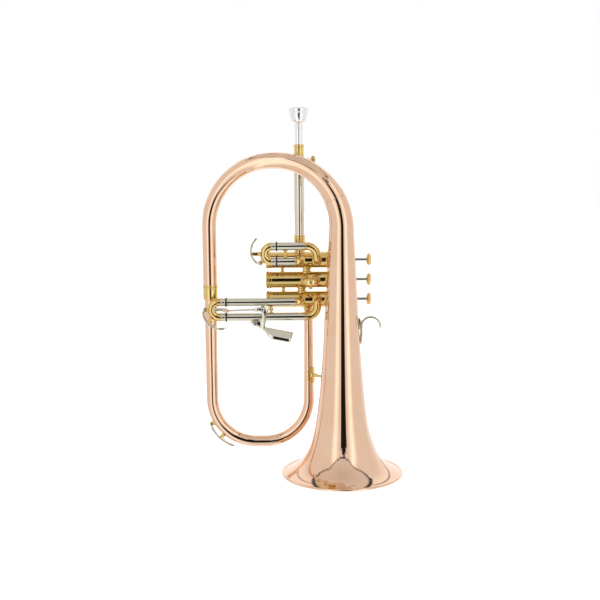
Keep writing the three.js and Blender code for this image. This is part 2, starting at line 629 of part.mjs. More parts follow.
add("first_slide_upper_leg", longLeg(FIRST_SLIDE, FIRST_SLIDE.high, down, 0), NICKEL_SILVER);
add("first_slide_lower_leg", shortLeg(FIRST_SLIDE, FIRST_SLIDE.low, 0), NICKEL_SILVER);
add("first_slide_stay", slideStay(FIRST_STAY_X, FIRST_SLIDE), YELLOW_BRASS);
add("third_slide_upper_leg", shortLeg(THIRD_SLIDE, THIRD_SLIDE.high, 2), NICKEL_SILVER);
add("third_slide_lower_leg", longLeg(THIRD_SLIDE, THIRD_SLIDE.low, Z, 2), NICKEL_SILVER);
add("third_slide_stay", slideStay(THIRD_STAY_X, THIRD_SLIDE), YELLOW_BRASS);

// second slide: two ports forwards from valve 2 and a crook whose legs slide in them
const portFace = -CASING_RADIUS - SECOND_PORT_LENGTH;
for (const [index, side] of ["left", "right"].entries()) {
  const start = at(SECOND_PORTS_X[index], portFace, MIDDLE_VALVE_Z);
  const tube = hollow(start, Y, [[0, LEG_RADIUS], [-portFace, LEG_RADIUS]],
    [[0, LEG_BORE], [SECOND_PORT_LENGTH - 1, LEG_BORE], [SECOND_PORT_LENGTH - 1, PORT_BORE], [-portFace, PORT_BORE]],
    SIDES.tube);
  add(`second_slide_${side}_port`, cut(tube, casingTool(1)), YELLOW_BRASS);
}
const secondSpread = SECOND_PORTS_X[1] - SECOND_PORTS_X[0];
const secondInner = SECOND_PORT_LENGTH - 1 - GAP;
const secondStraight = secondInner + GAP + 3.6;
const secondRoute = new Route(at(SECOND_PORTS_X[0], portFace + secondInner, MIDDLE_VALVE_Z), near)
  .line(secondStraight)
  .arc(secondSpread / 2, 180, Z, 6)
  .line(secondStraight);
const secondHalf = [[0, INNER_RADIUS], [secondInner + GAP, INNER_RADIUS], [secondInner + GAP, LEG_RADIUS]];
const secondOutside = [
  ...secondHalf,
  ...secondHalf.map(([along, radius]) => [secondRoute.length - along, radius]).reverse(),
];
const pullKnob = turned(at((SECOND_PORTS_X[0] + SECOND_PORTS_X[1]) / 2, portFace - 3.6 - secondSpread / 2,
  MIDDLE_VALVE_Z - LEG_RADIUS + 0.8), down, [[0, 1.2], [2.4, 1.2], [3, 2.2], [4.4, 2.2], [5, 1.4]], SIDES.small);
const secondTube = bentTube(secondRoute, secondOutside, [[0, INNER_BORE], [secondRoute.length, INNER_BORE]]);
add("second_slide_crook", joined(secondTube, pullKnob), YELLOW_BRASS);

// ---- water keys ----
// A key is drawn for a round tube seen along Y. Its lever wraps the tube on an arc about the tube's bend centre,
// from the cork to the touch, and turns on a pin at the saddle. Angles are in degrees, anticlockwise from +X.
function onArc(centre, radius, degrees) {
  const angle = THREE.MathUtils.degToRad(degrees);
  return new THREE.Vector2(centre.x + radius * Math.cos(angle), centre.z + radius * Math.sin(angle));
}

// Height of the lever's inner face above the tube, along its length: a smooth curve through the three reaches.
function leverHeight({ cork, pivot, touch, reach }, share) {
  const middle = (pivot - cork) / (touch - cork);
  const before = share * (share - 1);
  return (
    (reach[0] * (share - middle) * (share - 1)) / middle +
    (reach[1] * before) / (middle * (middle - 1)) +
    (reach[2] * share * (share - middle)) / (1 - middle)
  );
}

function waterKey(key) {
  const { centre, skin, cork, pivot, touch, reach } = key;
  const steps = 8;
  const outer = [];
  const inner = [];
  for (let step = 0; step <= steps; step++) {
    const share = step / steps;
    const angle = cork + (touch - cork) * share;
    const radius = skin + leverHeight(key, share);
    outer.push(onArc(centre, radius + KEY_THICKNESS, angle));
    inner.push(onArc(centre, radius, angle));
  }
  const strip = plate(new THREE.Shape([...inner, ...outer.reverse()]), key.y + KEY_WIDTH / 2, KEY_WIDTH);
  const pin = onArc(centre, skin + reach[1] - 1.2, pivot);
  const barrel = rod(at(pin.x, key.y - KEY_WIDTH / 2, pin.y), at(pin.x, key.y + KEY_WIDTH / 2, pin.y),
    KEY_PIVOT_RADIUS + 0.3);
  const seat = onArc(centre, skin + 1.6 + GAP, cork);
  const top = onArc(centre, skin + reach[0] + 0.4, cork);
  const pad = rod(at(seat.x, key.y, seat.y), at(top.x, key.y, top.y), 2.4);
  return joined(strip, barrel, pad);
}

// The saddle's two ears and the nipple, which are soldered to the tube.
function keyFittings(key) {
  const { centre, skin, cork, pivot, reach } = key;
  const root = onArc(centre, skin - 1.5, pivot);
  const pin = onArc(centre, skin + reach[1] - 1.2, pivot);
  const ears = [-1, 1].map((side) => {
    const y = key.y + side * (KEY_WIDTH / 2 + GAP + EAR_RADIUS);
    return rod(at(root.x, y, root.y), at(pin.x, y, pin.y), EAR_RADIUS);
  });
  const heads = [-1, 1].map((side) => {
    const y = key.y + side * (KEY_WIDTH / 2 + GAP);
    return rod(at(pin.x, y, pin.y), at(pin.x, y + side * 1.3, pin.y), 1.9);
  });
  const inside = onArc(centre, skin - 1.2, cork);
  const mouth = onArc(centre, skin + 1.6, cork);
  const nipple = rod(at(inside.x, key.y, inside.y), at(mouth.x, key.y, mouth.y), NIPPLE_RADIUS);
  return [...ears, ...heads, nipple];
}

const crookCentre = (slide) => ({ x: slide.centre, z: (slide.low + slide.high) / 2 });
const crookSkin = (slide) => (slide.high - slide.low) / 2 + CROOK_RADIUS;
const KEYS = [
  { centre: crookCentre(FIRST_SLIDE), skin: crookSkin(FIRST_SLIDE), y: SLIDE_Y, cork: 218, pivot: 180, touch: 130,
    reach: [6, 11.5, 12.5] },
  { centre: crookCentre(THIRD_SLIDE), skin: crookSkin(THIRD_SLIDE), y: SLIDE_Y, cork: 180, pivot: 228, touch: 290,
    reach: [5.2, 8.5, 10.5] },
  { centre: { x: BRANCH_X + FRONT_BOW_BEND, z: bendHeight }, skin: FRONT_BOW_BEND + FRONT_BOW_RADII.down, y: 0,
    cork: 210, pivot: 228, touch: 246, reach: [4.8, 6.8, 5.2] },
];
KEYS.forEach((key, index) => add(`water_key_${index + 1}`, waterKey(key), NICKEL_SILVER));

add("first_slide_crook", joined(slideCrook(FIRST_SLIDE), ...keyFittings(KEYS[0])), YELLOW_BRASS);
const frontTube = bentTube(frontRoute, frontRows(0), frontRows(TUBE_WALL), SIDES.bow);
const frontBow = joined(frontTube, ...keyFittings(KEYS[2]));
add("front_bow", cut(frontBow, casingTool(2)), ROSE_BRASS);

// The foot of the trigger rod stands on the inside of the third crook's bend.
const slideMiddle = (THIRD_SLIDE.low + THIRD_SLIDE.high) / 2;
const footInside = THIRD_SLIDE.centre - (THIRD_SLIDE.high - THIRD_SLIDE.low) / 2 + CROOK_RADIUS;
const foot = joined(
  rod(at(footInside - 2, SLIDE_Y, slideMiddle), at(ROD_JOINT_X, SLIDE_Y, slideMiddle), 1.7, 8),
  rod(at(ROD_JOINT_X, SLIDE_Y + 1.5, slideMiddle), at(ROD_JOINT_X, ROD_Y + 1.9 + GAP, slideMiddle), 1.7, 8),
);
add("third_slide_crook", joined(slideCrook(THIRD_SLIDE), ...keyFittings(KEYS[1]), foot), YELLOW_BRASS);

// ---- trigger of the third slide ----
const leverFront = LEVER_FACE_Y - LEVER_THICKNESS;
const pivotReach = LEVER_FACE_Y + GAP;
const legFloor = THIRD_SLIDE.low - LEG_RADIUS - GAP;
const bracketWidth = 6;
const { x: pivotX, z: pivotZ } = TRIGGER_PIVOT;
const { x: pinX, z: pinZ } = TRIGGER_PIN;
const bracketFoot = block(
  at(pivotX - bracketWidth, SLIDE_Y - 3, legFloor - 3.2),
  at(pivotX + bracketWidth, SLIDE_Y + 3, legFloor + 1.5),
);
const bracketPost = rod(at(pivotX, SLIDE_Y, pivotZ), at(pivotX, pivotReach, pivotZ), 2.6);
const screwBore = rod(at(pivotX, pivotReach - 2, pivotZ), at(pivotX, SLIDE_Y - 1.5, pivotZ), 1.4);
const legTool = rod(
  at(pivotX - 20, SLIDE_Y, THIRD_SLIDE.low), at(pivotX + 20, SLIDE_Y, THIRD_SLIDE.low), LEG_RADIUS + GAP, 24,
);
add("trigger_bracket", cut(joined(bracketFoot, bracketPost), screwBore, legTool), YELLOW_BRASS);
const screwHead = 1.5;
const pivotScrewEnd = screwHead + SLIDE_Y - 1.8 - leverFront;
add("trigger_pivot_screw", turned(at(pivotX, leverFront - screwHead, pivotZ), Y, [
  [0, 1.6], [0.5, 2.1], [screwHead - GAP, 2.1], [screwHead - GAP, 1.1], [pivotScrewEnd, 1.1],
], 12), SATIN_STEEL);

// The lever: hub, arm with the slot for the rod's pin, and finger paddle. Its outline goes round the hub and the
// arm's near side from the pivot, round the slot's end from the pin, and back down the far side to the pivot.
const nearSide = [
  [-3.2, 0], [-2.2, -2.6], [0, -3.4], [3, -4.5], [13, -11.5], [15.5, -9.5], [12, -3.2], [13.4, 1], [13.8, 12],
];
const slotEnd = [[6.5, -4], [7.5, 0], [6, 4], [2, 4.6], [-2.6, 3.4], [-3, -3.2]];
const farSide = [[8.6, 11], [8.4, 4.2], [2.6, 2.8], [0, 3.2], [-2.2, 2.4]];
const pivotPoint = ([x, z]) => new THREE.Vector2(pivotX + x, pivotZ + z);
const pinPoint = ([x, z]) => new THREE.Vector2(pinX + x, pinZ + z);
const lever = new THREE.Shape([...nearSide.map(pivotPoint), ...slotEnd.map(pinPoint), ...farSide.map(pivotPoint)]);
const pivotHole = rod(at(pivotX, leverFront - 1, pivotZ), at(pivotX, LEVER_FACE_Y + 1, pivotZ), 1.5);
// Where the pin stands in the lever's own frame when the lever has turned by an angle.
function pinInLever(degrees) {
  const angle = THREE.MathUtils.degToRad(degrees);
  const x = pinX - TRIGGER_RATIO * angle - pivotX;
  const z = pinZ - pivotZ;
  const across = x * Math.cos(angle) + z * Math.sin(angle);
  const upward = z * Math.cos(angle) - x * Math.sin(angle);
  return at(pivotX + across, 0, pivotZ + upward);
}
const slotHoles = [0, 0.5, 1].map((share) => {
  const pin = pinInLever(TRIGGER_RANGE * share);
  return rod(at(pin.x, leverFront - 1, pin.z), at(pin.x, LEVER_FACE_Y + 1, pin.z), PIN_RADIUS + 0.45);
});
const paddleTilt = THREE.MathUtils.degToRad(PADDLE_TILT);
const paddleSection = new THREE.Shape();
paddleSection.moveTo(0, 0);
paddleSection.lineTo(0, -PADDLE_WALL);
paddleSection.lineTo(2, -PADDLE_WALL);
paddleSection.absarc(2, -PADDLE_RADIUS, PADDLE_RADIUS - PADDLE_WALL, Math.PI / 2, 0.2, true);
paddleSection.absarc(2, -PADDLE_RADIUS, PADDLE_RADIUS, 0.2, Math.PI / 2, false);
const paddleAlong = at(Math.cos(paddleTilt), 0, -Math.sin(paddleTilt));
const paddleUp = at(Math.sin(paddleTilt), 0, Math.cos(paddleTilt));
const paddleStart = at(pivotX + 10.5, LEVER_FACE_Y, pivotZ - 4.2);
const paddlePlace = new THREE.Matrix4()
  .makeBasis(near, paddleUp, paddleAlong.clone().negate())
  .setPosition(paddleStart.addScaledVector(paddleAlong, PADDLE_LENGTH));
const paddle = new THREE.ExtrudeGeometry(paddleSection, {
  depth: PADDLE_LENGTH, bevelEnabled: false, curveSegments: 5,
}).applyMatrix4(paddlePlace);
const leverPlate = plate(lever, LEVER_FACE_Y, LEVER_THICKNESS);
add("trigger_lever", cut(joined(leverPlate, paddle), pivotHole, ...slotHoles), NICKEL_SILVER);

// The rod: ball joint at the crook, thin rod, clevis block and the pin that runs in the lever's slot.
const clevisBack = leverFront - 0.8;
const clevis = block(at(pinX - 10, clevisBack - 3.8, pinZ - 2.6), at(pinX + 2.2, clevisBack, pinZ + 2.6));
add("trigger_rod", joined(
  new THREE.SphereGeometry(1.9, 10, 6).translate(ROD_JOINT_X, ROD_Y, slideMiddle),
  rod(at(ROD_JOINT_X, ROD_Y, slideMiddle), at(pinX - 8, ROD_Y, pinZ), ROD_RADIUS, 8),
  clevis,
  rod(at(pinX, clevisBack - 1, pinZ), at(pinX, LEVER_FACE_Y + 0.2, pinZ), PIN_RADIUS),
), NICKEL_SILVER);

// ---- braces and hook ----
// The bell's outside between two heights, grown by a clearance.
function bellTool(bottom, top, growth) {
  const rows = [0, 1, 2, 3, 4].map((step) => {
    const height = bottom + ((top - bottom) * step) / 4;
    return [height - bottom, bellRadius(height - FLARE_LIFT) + growth];
  });
  return turned(at(0, BELL_Y, bottom), Z, rows, SIDES.bell);
}

// An upright oval prism that starts on an upright axis and points along a level direction.
function ovalPrism(start, direction, halfWidth, halfHeight, depth) {
  const oval = new THREE.Shape().absellipse(0, 0, halfWidth, halfHeight, 0, 2 * Math.PI);
  const place = new THREE.Matrix4().makeBasis(Z.clone().cross(direction), Z, direction).setPosition(start);
  return new THREE.ExtrudeGeometry(oval, { depth, bevelEnabled: false, curveSegments: 8 }).applyMatrix4(place);
}

// A leaf on the back of the bell with a post that meets a valve casing.
function valveBrace(valve, middle, halfHeight, postFoot) {
  const angle = THREE.MathUtils.degToRad(BRACE_ANGLE);
  const direction = at(Math.cos(angle), Math.sin(angle), 0);
  const bottom = middle - halfHeight - 4;
  const top = middle + halfHeight + 4;
  const shell = cut(bellTool(bottom, top, GAP + BRACE_PLATE), bellTool(bottom - 1, top + 1, GAP));
  const leaf = common(shell, ovalPrism(at(0, BELL_Y, middle), direction, BRACE_HALF_WIDTH, halfHeight, 40));
  const radius = bellRadius(postFoot - FLARE_LIFT);
  const foot = at(0, BELL_Y, postFoot).addScaledVector(direction, radius - 2);
  const post = rod(foot, at(foot.x, 0, valveZ[valve]), BRACE_RADIUS);
  return cut(joined(leaf, post), casingTool(valve), bellTool(bottom - 1, top + 1, GAP));
}
add("upper_valve_brace", valveBrace(0, 274, 19, valveZ[0]), YELLOW_BRASS);
add("lower_valve_brace", valveBrace(2, 193, 20, 206), YELLOW_BRASS);

const branchAxis = at(FRONT_BOW_END_X, 0, BRACE_Z);
const bellAxis = at(0, BELL_Y, BRACE_Z);
const braceDirection = bellAxis.clone().sub(branchAxis).normalize();
const saddleBore = FRONT_BOW_RADII.brace + 0.15 + GAP;
const saddleOutside = saddleBore + BRACE_PLATE;
const saddleRing = hollow(
  at(FRONT_BOW_END_X, 0, BRACE_Z - 12), Z, [[0, saddleOutside], [24, saddleOutside]], [[0, saddleBore], [24, saddleBore]],
  SIDES.bow,
);
const saddle = common(saddleRing, ovalPrism(branchAxis, braceDirection, 5.4, SADDLE_HALF_HEIGHT, 20));
const postLength = bellAxis.distanceTo(branchAxis) - saddleBore - 0.3;
const post = turned(branchAxis.clone().addScaledVector(braceDirection, saddleBore + 0.3), braceDirection, [
  [0, 3.4], [1.4, 2.6], [8, 1.7], [postLength - 8 - bellRadius(BRACE_Z), 1.5], [postLength, 2.4],
], SIDES.small);
add("bell_brace", cut(joined(saddle, post), bellTool(BRACE_Z - 12, BRACE_Z + 12, GAP)), YELLOW_BRASS);

const hookX = bellRadius(HOOK_FOOT) + GAP;
const archZ = HOOK_FOOT + HOOK_RISE;
const hookOutline = new THREE.Shape();
hookOutline.moveTo(hookX - 3, HOOK_FOOT + 1);
hookOutline.lineTo(hookX + HOOK_THICKNESS * 0.6, HOOK_FOOT);
hookOutline.lineTo(hookX + HOOK_THICKNESS, HOOK_FOOT + 8);
hookOutline.lineTo(hookX + HOOK_THICKNESS, archZ);
const hookInner = HOOK_RADIUS - HOOK_THICKNESS;
hookOutline.absarc(hookX + HOOK_RADIUS, archZ, hookInner, Math.PI, -0.25, true);
hookOutline.absarc(hookX + HOOK_RADIUS, archZ, HOOK_RADIUS, -0.2, Math.PI * 0.86, false);
hookOutline.lineTo(hookX - 3, archZ + 6);
const hook = plate(hookOutline, BELL_Y + HOOK_WIDTH / 2, HOOK_WIDTH);
add("little_finger_hook", cut(hook, bellTool(HOOK_FOOT - 10, archZ + 30, GAP)), NICKEL_SILVER);

// The origin is the middle of the bottom of the whole instrument's box.
const box = new THREE.Box3().setFromObject(instrument, true);
const middle = box.getCenter(new THREE.Vector3());
instrument.position.set(-middle.x, -middle.y, -box.min.z);
const part = new THREE.Group();
part.add(instrument);

export default part;
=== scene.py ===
import math

import bmesh
import bpy
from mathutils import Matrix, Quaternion, Vector


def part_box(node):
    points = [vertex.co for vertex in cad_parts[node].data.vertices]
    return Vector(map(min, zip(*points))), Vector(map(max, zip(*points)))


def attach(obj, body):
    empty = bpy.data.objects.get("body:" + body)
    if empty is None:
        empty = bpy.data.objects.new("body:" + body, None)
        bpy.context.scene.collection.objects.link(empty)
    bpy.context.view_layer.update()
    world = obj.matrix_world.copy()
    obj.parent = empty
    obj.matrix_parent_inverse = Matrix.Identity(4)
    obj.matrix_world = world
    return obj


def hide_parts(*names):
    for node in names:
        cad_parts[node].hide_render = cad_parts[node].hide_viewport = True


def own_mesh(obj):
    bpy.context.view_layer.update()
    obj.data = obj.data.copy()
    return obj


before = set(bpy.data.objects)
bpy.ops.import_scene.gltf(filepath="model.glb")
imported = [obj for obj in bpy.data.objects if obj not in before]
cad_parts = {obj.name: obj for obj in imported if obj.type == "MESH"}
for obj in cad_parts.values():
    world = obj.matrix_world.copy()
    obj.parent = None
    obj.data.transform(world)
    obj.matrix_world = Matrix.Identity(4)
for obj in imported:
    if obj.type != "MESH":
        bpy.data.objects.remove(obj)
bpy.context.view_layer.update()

# The horn is drawn in millimetres, with the valves along X in the plane y = 0 and the bell's axis upright at
# x = 0, y = BELL_Y. ORIGIN is where that frame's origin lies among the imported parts.
MM = 0.001
BELL_Y = -36
bell_low, bell_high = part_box("bell")
ORIGIN = Vector(((bell_low.x + bell_high.x) / 2, (bell_low.y + bell_high.y) / 2 - BELL_Y * MM, bell_low.z))
X = Vector((1, 0, 0))
Y = Vector((0, 1, 0))
Z = Vector((0, 0, 1))

# ---- sizes, in millimetres ----
# bell
RIM_RADIUS = 77
RIM_WIRE = 1.48
SHEET_RADIUS = 76.2
FLARE_LIFT = 1.2
BELL_THROAT = 27.12
BELL_TAPER = 0.0408
FLARE_DEPTH = 28.92
FLARE_POWER = 1.5
BELL_WALL = 0.9
BELL_STEM = 313
SEAM_ANGLE = 25  # degrees of the rear bow that belong to the bell
# rear bow, ferrule and front bow
BRANCH_X = -166.7
BOW_RADIUS = 83
BRANCH_RADIUS = 9
BOW_DECAY = 66
TUBE_WALL = 0.8
FERRULE = (220, 239)  # from and to, in height
FERRULE_RADIUS = 9.3
FRONT_BOW_BOTTOM = 32.8
FRONT_BOW_BEND = 56.7
FRONT_BOW_END_X = -41.4
# valves
VALVE_Z = (270.1, 244.7, 219.3)
CASING = (-90.8, 4)  # from and to, along X
CASING_RADIUS = 10.4
CASING_BORE = 8.7
CASING_BAND = 10.8
CAP_LENGTH = 4.4
PISTON_BOTTOM = -61.3
TOP_CAP_END = 12.7
STEM_RADIUS = 1.9
BUTTON_BACK = 32.6
SPRING_RADIUS = 6.2
SPRING_FOOT = CASING[0] + 4.9
SPRING_TURNS = 6
SOLDER_DEPTH = 1.6  # how far a soldered piece reaches into the round of a casing
CROSSOVER_X = (-43.1, -49.7)
SPACER_X = (-74.2, -73)
# leadpipe and mouthpiece, heights above the floor
LEADPIPE_X = -52
SOCKET_TOP = 301.7
SLEEVE_BOTTOM = 290.3
LEADPIPE_BOTTOM = 294
COLLAR_BOTTOM = 388.3
SCREW_Z = 395.5
RECEIVER_BOTTOM = 400.5
SHANK_BOTTOM = 397
# slides
SLIDE_Y = -18
LEG_RADIUS = 5.3
LEG_BORE = 4.75
CROOK_RADIUS = 5.15
INNER_RADIUS = 4.45
INNER_BORE = 3.9
FIRST_SLIDE = {"low": 269.8, "high": 289.1, "mouth": -81.5, "centre": -87}
THIRD_SLIDE = {"low": 199.5, "high": 218.6, "mouth": -145.9, "centre": -154.6}
KNUCKLE_X = -51.4
KNUCKLE_RADIUS = 5.6
BEND_X = -30
BEND_RADIUS = 13
INNER_END = -60
SECOND_PORTS_X = (-45.2, -31.8)
SECOND_PORT_LENGTH = 7
# trigger
TRIGGER_PIVOT = (-108.4, 191.9)
TRIGGER_PIN = (-99, 210.6)
LEVER_FRONT_Y = -26.4
ROD_Y = -29
ROD_JOINT_X = -147.5
PADDLE_LENGTH = 38.5
PADDLE_TILT = 11  # degrees below level
# hook and braces
HOOK_FOOT = 168
HOOK_RISE = 21.5
HOOK_RADIUS = 13
HOOK_THICKNESS = 2.6
BRACE_ANGLE = 150
BRACE_Z = 121


def new_tree(name, kind, inputs, outputs):
    """A node group with its sockets: (label, kind, starting value) going in, (label, kind) coming out."""
    tree = bpy.data.node_groups.new(name, kind)
    for label, socket_kind, start in inputs:
        socket = tree.interface.new_socket(label, in_out="INPUT", socket_type=f"NodeSocket{socket_kind}")
        if start is not None:
            socket.default_value = start
    for label, socket_kind in outputs:
        tree.interface.new_socket(label, in_out="OUTPUT", socket_type=f"NodeSocket{socket_kind}")
    return tree, tree.nodes.new("NodeGroupInput").outputs, tree.nodes.new("NodeGroupOutput").inputs


def feed(group, socket, source):
    """Sets a socket to a number, or links another socket to it."""
    if isinstance(source, bpy.types.NodeSocket):
        group.links.new(source, socket)
    elif source is not None:
        socket.default_value = source


def maths(group, operation, a, b=None, c=None):
    """Sums on one, two or three values."""
    node = group.nodes.new("ShaderNodeMath")
    node.operation = operation
    for socket, source in zip(node.inputs, (a, b, c)):
        feed(group, socket, source)
    return node.outputs[0]


def vector_maths(group, operation, a, b=None, scale=None):
    """The same for vectors."""
    node = group.nodes.new("ShaderNodeVectorMath")
    node.operation = operation
    feed(group, node.inputs[0], a)
    feed(group, node.inputs[1], b)
    if scale is not None:
        feed(group, node.inputs["Scale"], scale)
    return node.outputs[0]


# ---- the sweep: rings set along a path ----
def ring_sweep_tree():
    """Turns a row of stations into a skin of rings, each with two half-axes: side and lift."""
    tree, inputs, outputs = new_tree(
        "ring_sweep", "GeometryNodeTree",
        [("Stations", "Geometry", None), ("Sides", "Int", None), ("Squareness", "Float", None),
         ("Finish", "Material", None)],
        [("Skin", "Geometry")],
    )
    tree.is_modifier = True
    new = tree.nodes.new
    link = tree.links.new

    count = new("GeometryNodeAttributeDomainSize")
    link(inputs["Stations"], count.inputs[0])
    columns = maths(tree, "ADD", inputs["Sides"], 1)
    grid = new("GeometryNodeMeshGrid")
    link(count.outputs["Point Count"], grid.inputs["Vertices X"])
    link(columns, grid.inputs["Vertices Y"])
    index = new("GeometryNodeInputIndex").outputs[0]
    row = maths(tree, "FLOOR", maths(tree, "DIVIDE", maths(tree, "ADD", index, 0.5), columns))
    column = maths(tree, "SUBTRACT", index, maths(tree, "MULTIPLY", row, columns))
    wrapped = maths(tree, "MODULO", column, inputs["Sides"])
    angle = maths(tree, "DIVIDE", maths(tree, "MULTIPLY", wrapped, -2 * math.pi), inputs["Sides"])

    def station(name, kind="FLOAT_VECTOR"):
        if name == "position":
            source = new("GeometryNodeInputPosition").outputs[0]
        else:
            read = new("GeometryNodeInputNamedAttribute")
            read.data_type = kind
            read.inputs["Name"].default_value = name
            source = read.outputs["Attribute"]
        sample = new("GeometryNodeSampleIndex")
        sample.data_type = kind
        sample.domain = "POINT"
        link(inputs["Stations"], sample.inputs["Geometry"])
        link(source, sample.inputs["Value"])
        link(row, sample.inputs["Index"])
        return sample.outputs["Value"]

    def squared(wave):
        size = maths(tree, "POWER", maths(tree, "ABSOLUTE", wave), inputs["Squareness"])
        return maths(tree, "MULTIPLY", maths(tree, "SIGN", wave), size)

    across = squared(maths(tree, "COSINE", angle))
    upward = squared(maths(tree, "SINE", angle))
    side = station("side")
    lift = station("lift")
    reach = vector_maths(tree, "ADD", vector_maths(tree, "SCALE", side, scale=across),
                         vector_maths(tree, "SCALE", lift, scale=upward))
    place = new("GeometryNodeSetPosition")
    link(grid.outputs["Mesh"], place.inputs["Geometry"])
    link(vector_maths(tree, "ADD", station("position"), reach), place.inputs["Position"])

    # The same point on a straight bar, so that drawing marks can follow a bent tube.
    straight = new("ShaderNodeCombineXYZ")
    for number, (share, half_axis) in enumerate(((across, side), (upward, lift))):
        size = new("ShaderNodeVectorMath")
        size.operation = "LENGTH"
        link(half_axis, size.inputs[0])
        link(maths(tree, "MULTIPLY", share, size.outputs["Value"]), straight.inputs[number])
    link(station("along", "FLOAT"), straight.inputs[2])
    store = new("GeometryNodeStoreNamedAttribute")
    store.data_type = "FLOAT_VECTOR"
    store.domain = "POINT"
    store.inputs["Name"].default_value = "straight"
    link(place.outputs[0], store.inputs["Geometry"])
    link(straight.outputs[0], store.inputs["Value"])

    merge = new("GeometryNodeMergeByDistance")
    merge.inputs["Distance"].default_value = 2e-6
    link(store.outputs[0], merge.inputs["Geometry"])
    smooth = new("GeometryNodeSetShadeSmooth")
    smooth.domain = "EDGE"
    bend = new("GeometryNodeInputMeshEdgeAngle").outputs["Unsigned Angle"]
    link(merge.outputs[0], smooth.inputs["Geometry"])
    link(maths(tree, "LESS_THAN", bend, 0.75), smooth.inputs["Shade Smooth"])
    real = new("GeometryNodeRealizeInstances")
    link(smooth.outputs[0], real.inputs[0])
    paint = new("GeometryNodeSetMaterial")
    link(real.outputs[0], paint.inputs["Geometry"])
    link(inputs["Finish"], paint.inputs["Material"])
    link(paint.outputs[0], outputs["Skin"])
    return tree


def knurl_tree():
    """Sets a ridge at even steps round an axis, for the gripping bands of caps and screws."""
    tree, inputs, outputs = new_tree("knurl_ring", "GeometryNodeTree",
                                     [("Ridge", "Geometry", None), ("Centre", "Vector", None),
                                      ("Axis", "Vector", None), ("Ridges", "Int", None),
                                      ("Finish", "Material", None)], [("Band", "Geometry")])
    tree.is_modifier = True
    new = tree.nodes.new
    link = tree.links.new
    line = new("GeometryNodeMeshLine")
    link(inputs["Ridges"], line.inputs["Count"])
    line.inputs["Offset"].default_value = (0, 0, 0)
    index = new("GeometryNodeInputIndex").outputs[0]
    turn = new("FunctionNodeAxisAngleToRotation")
    link(inputs["Axis"], turn.inputs["Axis"])
    angle = maths(tree, "DIVIDE", maths(tree, "MULTIPLY", index, 2 * math.pi), inputs["Ridges"])
    link(angle, turn.inputs["Angle"])
    copies = new("GeometryNodeInstanceOnPoints")
    link(line.outputs[0], copies.inputs["Points"])
    link(inputs["Ridge"], copies.inputs["Instance"])
    link(turn.outputs[0], copies.inputs["Rotation"])
    real = new("GeometryNodeRealizeInstances")
    link(copies.outputs[0], real.inputs[0])
    move = new("GeometryNodeTransform")
    link(real.outputs[0], move.inputs["Geometry"])
    link(inputs["Centre"], move.inputs["Translation"])
    paint = new("GeometryNodeSetMaterial")
    link(move.outputs[0], paint.inputs["Geometry"])
    link(inputs["Finish"], paint.inputs["Material"])
    link(paint.outputs[0], outputs["Band"])
    return tree


RING_SWEEP = ring_sweep_tree()
KNURL_RING = knurl_tree()


def worked(obj, tree, **inputs):
    """Runs a geometry tree on an object and keeps the result as its plain mesh."""
    modifier = obj.modifiers.new(tree.name, "NODES")
    modifier.node_group = tree
    for socket in tree.interface.items_tree:
        if socket.in_out == "INPUT" and socket.name in inputs:
            modifier[socket.identifier] = inputs[socket.name]
    applied(obj)
    obj.data.name = obj.name
    return obj


def applied(obj):
    """Turns what the object's modifiers make into its plain mesh."""
    bpy.context.view_layer.update()
    ready = obj.evaluated_get(bpy.context.evaluated_depsgraph_get())
    mesh = bpy.data.meshes.new_from_object(ready)
    obj.modifiers.clear()
    obj.data = mesh
    return mesh


def placed(name, data, finish=None):
    """A new object in the scene, for a mesh, a light or a camera."""
    obj = bpy.data.objects.new(name, data)
    bpy.context.scene.collection.objects.link(obj)
    if finish:
        data.materials.append(FINISH[finish])
    return obj


def formed(name, shape, finish=None):
    """A new object from a shape drawn point by point."""
    bmesh.ops.recalc_face_normals(shape, faces=shape.faces)
    mesh = bpy.data.meshes.new(name)
    shape.to_mesh(mesh)
    shape.free()
    return placed(name, mesh, finish)


def joined_rows(shape, rows, closed=False):
    """Faces between neighbouring rows of points."""
    count = len(rows[0])
    for first, second in zip(rows, rows[1:]):
        for index in range(count if closed else count - 1):
            after = (index + 1) % count
            shape.faces.new((first[index], first[after], second[after], second[index]))


def fitted(obj, body, nodes):
    """Puts a finished piece on its body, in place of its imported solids."""
    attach(obj, body)
    if nodes:
        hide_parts(*nodes)
    return obj


# ---- finishes ----
def noise(group, vector, scale, detail=2, roughness=0.5):
    """Soft random patches."""
    node = group.nodes.new("ShaderNodeTexNoise")
    feed(group, node.inputs["Vector"], vector)
    feed(group, node.inputs["Scale"], scale)
    node.inputs["Detail"].default_value = detail
    node.inputs["Roughness"].default_value = roughness
    return node.outputs["Fac"]


def ramp(group, source, low, high, to_low=0, to_high=1):
    """Goes smoothly from one value to another while the source goes from low to high."""
    node = group.nodes.new("ShaderNodeMapRange")
    node.interpolation_type = "SMOOTHSTEP"
    feed(group, node.inputs["Value"], source)
    for label, number in (("From Min", low), ("From Max", high), ("To Min", to_low), ("To Max", to_high)):
        feed(group, node.inputs[label], number)
    return node.outputs["Result"]


def mix_colour(group, share, a, b):
    """A colour part of the way from a to b."""
    node = group.nodes.new("ShaderNodeMix")
    node.data_type = "RGBA"
    feed(group, node.inputs[0], share)
    feed(group, node.inputs[6], a)
    feed(group, node.inputs[7], b)
    return node.outputs[2]


